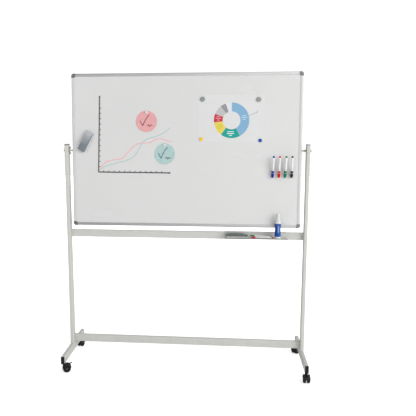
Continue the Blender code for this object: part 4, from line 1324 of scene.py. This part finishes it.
def build_drawing():
    """Two axes with ticks, and two curves. The board carries no lettering."""
    left, low = AXES_ORIGIN
    dark = INKS["dark"]
    upward = by_hand(ruled(AXES_ORIGIN, AXES_TOP), 1.0)
    stroke("drawn_axis_vertical", upward, 0.0088, dark, blob=0.35)
    rightward = by_hand(ruled((left - 0.004, low), AXES_RIGHT), 2.0)
    stroke("drawn_axis_horizontal", rightward, 0.0088, dark, blob=0.3)
    # axis, its end, pitch as a part of its length, start and end of a tick from the axis
    ticks = (
        ("v", AXES_TOP, 0.0700, (0.002, 0), (0.0125, 0.0004)),
        ("h", AXES_RIGHT, 0.0735, (0, 0.002), (0.0003, 0.0118)),
    )
    for letter, end, pitch, tick_start, tick_end in ticks:
        for k in range(12):
            part = 0.07 + k * pitch
            x, z = left + (end[0] - left) * part, low + (end[1] - low) * part
            first, last = ((x + away[0], z + away[1]) for away in (tick_start, tick_end))
            stroke(f"drawn_tick_{letter}{k}", ruled(first, last, 0.001), 0.0056, dark)
    lower, upper = smooth_line(CURVE_LOWER), smooth_line(CURVE_UPPER)
    stroke("drawn_curve_lower", lower, 0.0046, INKS["rose"], off=0.00002, seed=3.0)
    stroke("drawn_curve_upper", upper, 0.0046, INKS["teal"], off=0.00016, seed=5.0)


# ======================================================= paper on the board
def magnet(name, x, z, off, radius, height, colour):
    """A round board magnet: moulded cap with a soft rim and a shallow dished top."""
    rows = [
        (0, height * 0.90), (radius * 0.62, height * 0.88, radius * 0.2),
        (radius * 0.80, height, radius * 0.16), (radius * 0.97, height * 0.72, radius * 0.2),
        (radius, 0, radius * 0.04), (0, 0),
    ]
    lighter = shade(colour, 1.25, plus=0.01)
    plastic = moulded(
        name + "_plastic", colour, roughness=0.36, wear=0.12, lighter=lighter, shine=0.3
    )
    made = new_object(name, lathe(fillet(rows), 48), facing_out(x, z, off))
    finish(made, "board", plastic, sharp=50)


def thin_piece(name, point, grid, material, thickness=0.00008, place=BOARD, body="board"):
    made = new_object(name, patch(point, *grid, thickness), place)
    finish(made, body, material, sharp=50)


SHEET_C = (0.2975, 0.2070)
SHEET_HW, SHEET_HH = 0.210, 0.1485
SHEET_TURN = math.radians(-0.4)
RING_C = (0.2989, 0.1945)
RING_IN, RING_OUT = 0.057, 0.1135
# name, start and end in degrees clockwise from the top, colour
SECTORS = (
    ("blue", 0, 150, (0.205, 0.395, 0.590)),
    ("green", 150, 217, (0.000, 0.325, 0.270)),
    ("yellow", 217, 263, (0.740, 0.600, 0.080)),
    ("red", 263, 292.5, (0.550, 0.014, 0.036)),
    ("grey", 292.5, 321, (0.490, 0.490, 0.500)),
    ("dark", 321, 333, (0.270, 0.270, 0.275)),
    ("slate", 333, 340, (0.235, 0.215, 0.300)),
    ("pale", 340, 360, (0.690, 0.695, 0.705)),
)
# material name, colour
BAR_COLOURS = (
    ("chart_print_bars", (0.80, 0.83, 0.86)),
    ("chart_print_bars_soft", (0.50, 0.64, 0.78)),
    ("chart_print_bars_blush", (0.62, 0.40, 0.42)),
    ("chart_print_bars_dark", (0.34, 0.36, 0.40)),
    ("chart_print_bars_ochre", (0.52, 0.44, 0.08)),
)
# sector, angle, distance from the ring's centre, widths of its bars
CAPTIONS = (
    ("blue", 78, 0.083, (0.028, 0.036, 0.018)),
    ("green", 184, 0.085, (0.040, 0.044, 0.018)),
    ("yellow", 241, 0.086, (0.030, 0.034, 0.016)),
    ("red", 279, 0.086, (0.022, 0.034, 0.016)),
)
# name, x, z, radius, height, colour
SHEET_MAGNETS = (
    ("top_left", 0.1115, 0.3300, 0.0160, 0.0070, (0.245, 0.300, 0.290)),
    ("top_right", 0.4702, 0.3258, 0.0160, 0.0070, (0.295, 0.30, 0.30)),
    ("low_left", 0.1044, 0.0745, 0.0115, 0.0060, (0.90, 0.52, 0.004)),
    ("low_right", 0.4833, 0.0662, 0.0115, 0.0060, (0.004, 0.068, 0.37)),
)


def on_sheet(x, z, off=0.0):
    """A point on the sheet, which is pressed on at its edges and bellies between them."""
    part_x, part_z = (x - SHEET_C[0]) / SHEET_HW, (z - SHEET_C[1]) / SHEET_HH
    belly = (1 - min(1.0, part_x * part_x)) * (1 - min(1.0, part_z * part_z)) * 0.0022
    ripple = 0.0001 * (1 + noise.noise((x * 7, z * 7, 3.0)))
    return on_board(x, z, 0.00012 + belly + ripple + off)


def on_ring(angle, radius):
    """Chart position at an angle in degrees clockwise from the top."""
    turn = math.radians(angle)
    return RING_C[0] + radius * math.sin(turn), RING_C[1] + radius * math.cos(turn)


def build_sector(name, start, end, colour):
    def wedge(around, out):
        angle = start + 0.35 + (end - start - 0.7) * around
        return on_sheet(*on_ring(angle, RING_IN + (RING_OUT - RING_IN) * out), 0.00010)

    grid = (max(3, round((end - start) / 4)), 6)
    thin_piece("chart_sector_" + name, wedge, grid, paper("chart_print_" + name, colour))


def build_bar(name, centre_x, centre_z, width, material):
    def bar(right, up):
        return on_sheet(centre_x + (right - 0.5) * width, centre_z + (up - 0.5) * 0.0046, 0.00020)

    thin_piece(name, bar, (8, 1), material)


def build_sheet():
    """A chart on paper: a ring of sectors, with plain bars in place of captions."""
    def whole(right, up):
        x, z = (right * 2 - 1) * SHEET_HW, (up * 2 - 1) * SHEET_HH
        cosine, sine = math.cos(SHEET_TURN), math.sin(SHEET_TURN)
        return on_sheet(SHEET_C[0] + x * cosine - z * sine, SHEET_C[1] + x * sine + z * cosine)

    def leader(right, up):
        rise = 0.0245 * right + (up - 0.5) * 0.0036
        return on_sheet(0.4105 + 0.050 * right, 0.2230 + rise, 0.00014)

    def note(right, up):
        x, z = 0.4590 + 0.004 * up + 0.003 * right, 0.2400 + 0.018 * up + 0.002 * right
        return on_sheet(x, z, 0.00024)

    white = paper("chart_paper", (0.665, 0.672, 0.668), roughness=0.8)
    thin_piece("chart_sheet", whole, (48, 36), white, thickness=0.00010)
    for sector in SECTORS:
        build_sector(*sector)
    pale, soft, blush, dark, ochre = (paper(*row) for row in BAR_COLOURS)
    captions = zip(CAPTIONS, (soft, pale, ochre, blush))
    for (label, angle, distance, widths), material in captions:
        x, z = on_ring(angle, distance)
        for k, width in enumerate(widths):
            build_bar(f"chart_bar_{label}_{k}", x, z - (k - 1) * 0.0118, width, material)
    thin_piece("chart_leader", leader, (12, 1), dark)
    thin_piece("chart_note", note, (2, 6), dark)
    for name, x, z, radius, height, colour in SHEET_MAGNETS:
        magnet("magnet_sheet_" + name, x, z, 0.0004, radius, height, colour)


# name, centre x and z, radius, card colour, ink colour
DISCS = (
    ("rose", -0.2541, 0.1898, 0.069, (0.735, 0.365, 0.375), (0.20, 0.055, 0.10)),
    ("teal", -0.1346, -0.0217, 0.068, (0.405, 0.560, 0.550), (0.07, 0.14, 0.16)),
)
# from the disc's centre
MARK_TICK = (
    (-0.042, 0.006), (-0.034, -0.010), (-0.024, -0.028), (-0.015, -0.008), (0.001, 0.020),
    (0.021, 0.044),
)
MARK_DASH = (
    (0.006, -0.030), (0.014, -0.022), (0.021, -0.034), (0.029, -0.023), (0.040, -0.031),
)


def disc_mesh(centre_x, centre_z, radius):
    """A thin round card that curls off the board, most of all at its foot."""
    rings, count = 8, 64
    shell = Shell()

    def pair(x, z):
        curl = 0.0014 * min(1.0, math.hypot(x, z) / 0.07) ** 2 * (1 if z < 0 else 0.25)
        off = 0.0003 + curl
        places = [on_board(centre_x + x, centre_z + z, off + more) for more in (0.0003, 0)]
        return shell.ring(places)

    rows = [[pair(0, 0)]]
    for k in range(1, rings + 1):
        turns = [2 * math.pi * i / count for i in range(count)]
        reach = radius * k / rings
        rows.append([pair(reach * math.cos(turn), reach * math.sin(turn)) for turn in turns])
    front, back = ([[both[face] for both in row] for row in rows] for face in (0, 1))
    for grid in (front, back):
        for i in range(count):
            j = (i + 1) % count
            shell.face((grid[0][0], grid[1][i], grid[1][j]))
            for k in range(1, rings):
                shell.face((grid[k][i], grid[k + 1][i], grid[k + 1][j], grid[k][j]))
    shell.bridge(front[-1], back[-1])
    return shell.mesh("disc")


def build_discs():
    """Two round cards, each under a magnet and with a hand-drawn tick over a dash."""
    for name, x, z, radius, colour, line in DISCS:
        disc = new_object("card_disc_" + name, disc_mesh(x, z, radius), BOARD)
        finish(disc, "board", card("card_" + name, colour), sharp=50)
        top = z + radius - 0.0105
        magnet("magnet_disc_" + name, x, top, 0.0012, 0.0095, 0.0052, (0.70, 0.70, 0.69))
        pen = ink("ink_mark_" + name, line, patchiness=0.30)
        marks = (("tick", MARK_TICK, 0.0048, 8.0), ("dash", MARK_DASH, 0.0042, 9.0))
        for label, points, width, seed in marks:
            path = smooth_line([(x + right, z + up) for right, up in points])
            stroke(f"card_mark_{label}_{name}", path, width, pen, off=0.0019, seed=seed)


# ======================================================= erasers and markers
ERASER_W = 0.050


def eraser(name, place, body, plastic, length, felt_h, dome_h, ends, skew=0.0, power=2.3):
    """A board eraser: an arched grip over a felt pad. Z is up out of the felt. `ends` is the
    grip's height at its ends as a part of dome_h, `skew` moves its top, `power` flattens it."""
    columns, rows = 44, 28
    squeeze = 0.02  # bow of the sides
    shell = Shell()

    def top_point(i, j):
        x, y = i / columns * 2 - 1, j / rows * 2 - 1
        arch = max(0.0, 1 - abs(x + skew * (1 - x * x)) ** power)
        edge = min(1.0, (1 - abs(y)) * ERASER_W / 2 / 0.0045)
        crosswise = 0.80 + 0.20 * math.sqrt(1 - (1 - edge) ** 2) - 0.05 * y * y
        return (
            length / 2 * x * math.sqrt(1 - squeeze * y * y),
            ERASER_W / 2 * y * math.sqrt(1 - squeeze * x * x),
            felt_h + 0.0040 + (dome_h - 0.0040) * (ends + (1 - ends) * arch) * crosswise,
        )

    top = [shell.ring([top_point(i, j) for j in range(rows + 1)]) for i in range(columns + 1)]
    shell.fill(top)
    edge = border(top)
    below = shell.ring([(vertex.co.x, vertex.co.y, felt_h + 0.0003) for vertex in edge])
    shell.bridge(edge, below)
    shell.face(below)
    grip = new_object(name + "_grip", shell.mesh("grip"), place)
    soften(grip, 0.0008, angle=40)
    finish(grip, body, plastic, sharp=46)

    pad_outline = rounded_rectangle(length - 0.003, ERASER_W - 0.003, 0.006, 8)
    pad = new_object(name + "_felt", prism(pad_outline, 0.0003, felt_h), place)
    for k in (1, 2):
        height = 0.0003 + (felt_h - 0.0003) * k / 3
        groove = tube(
            rounded_rectangle(length + 0.01, ERASER_W + 0.01, 0.008, 8),
            rounded_rectangle(length - 0.0042, ERASER_W - 0.0042, 0.0055, 8),
            height - 0.0002, height + 0.0002,
        )
        combine(pad, groove)
    soften(pad, 0.0004)
    finish(pad, body, FELT, sharp=50)


MARKER_WHITE = moulded(
    "marker_barrel_white", (0.74, 0.75, 0.75), roughness=0.34, grain=700, wear=0.05
)
# radius, height, rounding: cap, neck ring, flared collar, barrel, end plug
MARKER_PROFILE = fillet(
    [
        (0, 0.0), (0.0040, 0.0004, 0.002), (0.0064, 0.0040, 0.006), (0.0074, 0.0150, 0.006),
        (0.0081, 0.0235, 0.002), (0.0078, 0.0270, 0.001), (0.0054, 0.0285, 0.0006),
        (0.0054, 0.0300, 0.0004), (0.0060, 0.0308, 0.0004), (0.0080, 0.0415, 0.004),
        (0.0081, 0.0440, 0.0006), (0.0066, 0.0450, 0.0004), (0.0066, 0.0530, 0.0006),
        (0.0063, 0.0540, 0.0006), (0.0063, 0.1290, 0.001), (0.0060, 0.1305, 0.0002),
        (0.0060, 0.1310, 0.0002), (0.0062, 0.1320, 0.0006), (0.0058, 0.1400, 0.003),
        (0, 0.1415),
    ],
    4,
)
MARKER_BANDS = ((-1, 0.0283), (0.1304, 1))  # heights of the coloured cap and plug
COLLAR_BAND = (0.0304, 0.0448)
# colour, x of the cap's end and of the barrel's end
BOARD_MARKERS = (
    ("blue", (0.008, 0.024, 0.275), 0.5642, 0.5699),
    ("red", (0.670, 0.003, 0.010), 0.6055, 0.6088),
    ("green", (0.000, 0.195, 0.105), 0.6448, 0.6490),
    ("black", (0.018, 0.016, 0.018), 0.6860, 0.6866),
)
TRAY_GREEN, TRAY_RED = (0.000, 0.195, 0.105), (0.78, 0.035, 0.085)


def marker(name, place, body, colour, thick, bands):
    """A dry-wipe marker along Z, cap first. `thick` scales its radius."""
    plastic = moulded(
        name + "_coloured", colour, roughness=0.38, grain=700, wear=0.06,
        lighter=shade(colour, 1.2, plus=0.01), shine=0.06,
    )
    mesh = lathe([(radius * thick, z) for radius, z in MARKER_PROFILE], 40)
    made = new_object(name, paint_bands(mesh, bands), place)
    finish(made, body, [MARKER_WHITE, plastic], sharp=45)


def towards(start, end):
    """A frame at start whose Z points to end."""
    ahead = (end - start).normalized()
    aside = Vector((1, 0, 0)) if abs(ahead.x) < 0.9 else Vector((0, 1, 0))
    y_axis = ahead.cross(aside).normalized()
    return axes(y_axis.cross(ahead).normalized(), y_axis, ahead, start)


def build_board_marker(name, colour, low_x, high_x):
    start, end = on_board(low_x, -0.1725, 0.0102), on_board(high_x, -0.0390, 0.0320)
    place = BOARD @ towards(start, end)
    marker("board_marker_" + name, place, "board", colour, 1.12, (*MARKER_BANDS, COLLAR_BAND))
    # the magnet in the cap's side rests on the board
    at = start + (end - start).normalized() * 0.0158
    depth = SHEET_Y - at.y - 0.0040
    rows = [(0, 0), (0.0042, 0, 0.0004), (0.0046, 0.0012, 0.0005), (0.0046, depth), (0, depth)]
    pad = new_object(
        "board_marker_magnet_" + name, lathe(fillet(rows, 3), 28), facing_out(at.x, at.z, 0.0001)
    )
    plastic = moulded(
        "marker_magnet_" + name, shade(colour, 0.7), roughness=0.4, grain=700, wear=0.1
    )
    finish(pad, "board", plastic, sharp=40)


def build_board_things():
    # the eraser's long side runs down to the left
    slope = Matrix.Rotation(math.atan2(0.1261, 0.0662), 4, "Z")
    place = facing_out(-0.65805, 0.05975, 0.0) @ slope
    eraser(
        "board_eraser", place, "board", ERASER,
        length=0.139, felt_h=0.0085, dome_h=0.0190, ends=0.35,
    )
    for row in BOARD_MARKERS:
        build_board_marker(*row)


# ======================================================= things in the tray
BOTTLE_R = 0.0200
# radius, height, rounding
BOTTLE_PROFILE = fillet(
    [
        (0, 0.0010), (0.0130, 0.0), (0.0190, 0.0, 0.003), (BOTTLE_R, 0.0030, 0.002),
        (BOTTLE_R, 0.0150), (BOTTLE_R, 0.0360, 0.03), (0.0182, 0.0560, 0.03),
        (0.0184, 0.0700, 0.03), (BOTTLE_R, 0.0880, 0.03), (BOTTLE_R, 0.1010, 0.002),
        (0.0198, 0.1035, 0.003), (0.0175, 0.1085, 0.006), (0.0150, 0.1115, 0.002),
        (0.0140, 0.1120, 0.0003), (0.0140, 0.1150, 0.0003), (0, 0.1150),
    ],
    6,
)
WRAP_BAND = (0.0152, 0.1008)
LID_PROFILE = fillet([
    (0, 0.1655), (0.0085, 0.1650, 0.003), (0.0112, 0.1600, 0.006), (0.0132, 0.1400, 0.02),
    (0.0146, 0.1200, 0.004), (0.0149, 0.1128, 0.0003), (0.0142, 0.1124, 0.0003),
    (0.0142, 0.1154), (0, 0.1154),
])


def radius_at(profile, height):
    """The outer radius of a turned profile at a height."""
    best = 0.0
    for (start_r, start_z), (end_r, end_z) in zip(profile, profile[1:]):
        low, high = min(start_z, end_z), max(start_z, end_z)
        if low <= height <= high and high > low:
            part = (height - start_z) / (end_z - start_z)
            best = max(best, start_r + (end_r - start_r) * part)
    return best


def round_label(name, place, x_span, z_span, material, off):
    """A thin patch on the front of the bottle."""
    def point(right, up):
        x = x_span[0] + (x_span[1] - x_span[0]) * right
        z = z_span[0] + (z_span[1] - z_span[0]) * up
        radius = radius_at(BOTTLE_PROFILE, z)
        return (x, -math.sqrt(max(0.0, radius * radius - x * x)) - off, z)

    thin_piece(name, point, (10, 12), material, place=place, body="pen_tray")


def build_bottle():
    """Cleaning spray: a waisted bottle with a ribbed lid, and plain bars in place of print."""
    at = Vector((TRAY_LOW.x + 0.3420, TRAY_LOW.y + 0.0245, TRAY_FLOOR))
    place = Matrix.Translation(at)
    white = moulded(
        "bottle_white", (0.70, 0.71, 0.69), roughness=0.36, grain=500, wear=0.05, shine=0.3
    )
    mesh = paint_bands(lathe(BOTTLE_PROFILE, 64), (WRAP_BAND,))
    finish(new_object("spray_bottle", mesh, place), "pen_tray", [white, bottle_wrap()], sharp=50)

    lid = new_object("spray_cap", lathe(LID_PROFILE, 64), place)
    for k in range(24):
        outline = rounded_rectangle(0.0010, 0.0008, 0.0003, 2, (0.0147, 0))
        rib = prism(outline, 0.1140, 0.1240)
        rib.transform(Matrix.Rotation(math.radians(15 * k), 4, "Z"))
        combine(lid, rib, "UNION")
    lid_white = moulded(
        "bottle_cap_white", (0.64, 0.655, 0.645), roughness=0.40, grain=500, wear=0.05, shine=0.25
    )
    finish(lid, "pen_tray", lid_white, sharp=45)

    panel = paper("label_panel", (0.075, 0.185, 0.43), roughness=0.4)
    bars = paper("label_bars", (0.36, 0.46, 0.60), roughness=0.4)
    round_label("label_patch", place, (-0.0035, 0.0095), (0.040, 0.086), panel, 0.00012)
    # height, width
    for k, (z, width) in enumerate(((0.078, 0.009), (0.070, 0.007), (0.062, 0.010), (0.052, 0.006))):
        x_span = (0.003 - width / 2, 0.003 + width / 2)
        round_label(f"label_bar_{k}", place, x_span, (z - 0.0016, z + 0.0016), bars, 0.00024)


def build_tray_things():
    at = (TRAY_LOW.x + 0.0810, TRAY_BACK - 0.0275, TRAY_FLOOR)
    place = Matrix.Translation(at) @ Matrix.Rotation(math.radians(-1.5), 4, "Z")
    eraser(
        "tray_eraser", place, "pen_tray", ERASER_DARK,
        length=0.141, felt_h=0.0090, dome_h=0.0265, ends=0.45, skew=0.10, power=3.6,
    )
    # caps to the left; the green marker lies across the cap of the red one
    radius = 0.0055
    # label, colour, x from the tray's left end, distance before its back, run to the back,
    # lift of the cap
    for label, colour, x, before, back, lift in (
        ("rear", TRAY_GREEN, 0.1660, 0.0520, 0.0240, 0.0108),
        ("front", TRAY_RED, 0.1725, 0.0560, 0.0, 0.0),
    ):
        start = Vector((TRAY_LOW.x + x, TRAY_BACK - before, TRAY_FLOOR + radius + lift))
        place = towards(start, start + Vector((0.137, back, -lift)))
        marker("tray_marker_" + label, place, "pen_tray", colour, 0.66, MARKER_BANDS)
    build_bottle()


# ================================================================ floor, light
def build_stage():
    shell = Shell()
    bmesh.ops.create_grid(shell.build, x_segments=8, y_segments=8, size=14.0)
    floor = new_object("floor", shell.mesh("floor"))
    if floor.data.polygons[0].normal.z < 0:
        floor.data.flip_normals()
    mat = Look("floor_pale")
    tone = mat.blend(mat.noise(scale=1.5), (0.90, 0.90, 0.90), (0.92, 0.92, 0.92))
    # to the camera, the floor lifts to the backdrop's plain white and keeps its soft shadows
    seen = mat.node("ShaderNodeLightPath").outputs["Is Camera Ray"]
    away = mat.node("ShaderNodeVectorMath", {0: mat.plain}, operation="LENGTH").outputs["Value"]
    lift = mat.spread(away, (0.9, 2.6), to=(0.52, 1.2))
    mat.set(
        Base_Color=tone, Roughness=0.9, Specular_IOR_Level=0.1,
        Emission_Color=(1, 1, 1), Emission_Strength=mat.math("MULTIPLY", seen, lift),
    )
    floor.data.materials.append(mat.material)


def area_light(name, at, aim, size, power, colour=(1, 1, 1)):
    data = bpy.data.lights.new(name, "AREA")
    data.shape = "RECTANGLE"
    data.size = data.size_y = size
    data.energy = power
    data.color = colour
    lamp = bpy.data.objects.new(name, data)
    bpy.context.scene.collection.objects.link(lamp)
    lamp.location = at
    lamp.rotation_euler = (Vector(aim) - Vector(at)).to_track_quat("-Z", "Y").to_euler()


def build_world():
    """White to the camera. As light, the room is brightest in front, to the right and
    overhead."""
    world = bpy.data.worlds.new("studio")
    bpy.context.scene.world = world
    world.use_nodes = True
    sky = Nodes(world.node_tree)
    sky.tree.nodes.clear()
    place = sky.node("ShaderNodeTexCoord").outputs["Generated"]
    split = sky.node("ShaderNodeSeparateXYZ", {"Vector": place})
    x, y, z = (split.outputs[letter] for letter in "XYZ")
    level = sky.math("MULTIPLY_ADD", x, 0.225, 0.248)  # slope to the right, base level
    for part, gain in (
        (sky.math("ABSOLUTE", x, 0.0), 0.075),  # both sides
        (sky.math("MULTIPLY", z, 1.0, clamp=True), 0.27),  # overhead
        (sky.math("MULTIPLY", y, -1.0, clamp=True), 0.32),  # front
        (sky.math("MULTIPLY", y, 1.0, clamp=True), 0.26),  # rear
    ):
        level = sky.math("MULTIPLY_ADD", part, gain, level)
    lit = sky.node("ShaderNodeBackground", {"Color": (0.985, 0.99, 0.99), "Strength": level})
    seen = sky.node("ShaderNodeBackground", {"Color": (1, 1, 1), "Strength": 1.1})
    camera_ray = sky.node("ShaderNodeLightPath").outputs["Is Camera Ray"]
    inputs = {"Fac": camera_ray, 1: lit.outputs["Background"], 2: seen.outputs["Background"]}
    pick = sky.node("ShaderNodeMixShader", inputs)
    sky.node("ShaderNodeOutputWorld", {"Surface": pick.outputs["Shader"]})


def build_light():
    build_world()
    area_light(
        "key", at=(6.4, -4.92, 4.0), aim=(0.1, 0, 1.1), size=5.2, power=428,
        colour=(1.0, 0.995, 0.985),
    )
    area_light("fill", at=(-3.5, -4.0, 2.2), aim=(0, 0, 1.0), size=3.0, power=34)


def build_camera():
    """A view from in front, to the right of the middle and at eye height, looking slightly
    down."""
    yaw, pitch, roll = -0.08745, -0.14108, -0.00149  # radians
    from_pivot_x, from_pivot_y, height = 0.2603, -3.3995, 1.6038
    flat_right = Vector((math.cos(yaw), -math.sin(yaw), 0.0))
    forward = Vector((
        math.sin(yaw) * math.cos(pitch), math.cos(yaw) * math.cos(pitch), math.sin(pitch),
    ))
    flat_up = flat_right.cross(forward)
    right = math.cos(roll) * flat_right + math.sin(roll) * flat_up
    upward = -math.sin(roll) * flat_right + math.cos(roll) * flat_up
    data = bpy.data.cameras.new("view")
    data.sensor_width = 36.0
    data.lens = 45.0016875
    data.shift_x, data.shift_y = 0.0684853365, -0.0157016827
    data.clip_start, data.clip_end = 0.05, 60
    camera = bpy.data.objects.new("view", data)
    bpy.context.scene.collection.objects.link(camera)
    at = (from_pivot_x + PIVOT.x, from_pivot_y + PIVOT.y, height)
    camera.matrix_world = axes(right, upward, -forward, at)
    bpy.context.scene.camera = camera


build_frame()
build_corners()
build_pivots()
build_stand()
build_tray()
build_casters()
build_drawing()
build_sheet()
build_discs()
build_board_things()
build_tray_things()
build_stage()
build_light()
build_camera()
bpy.context.scene.view_settings.view_transform = "Standard"
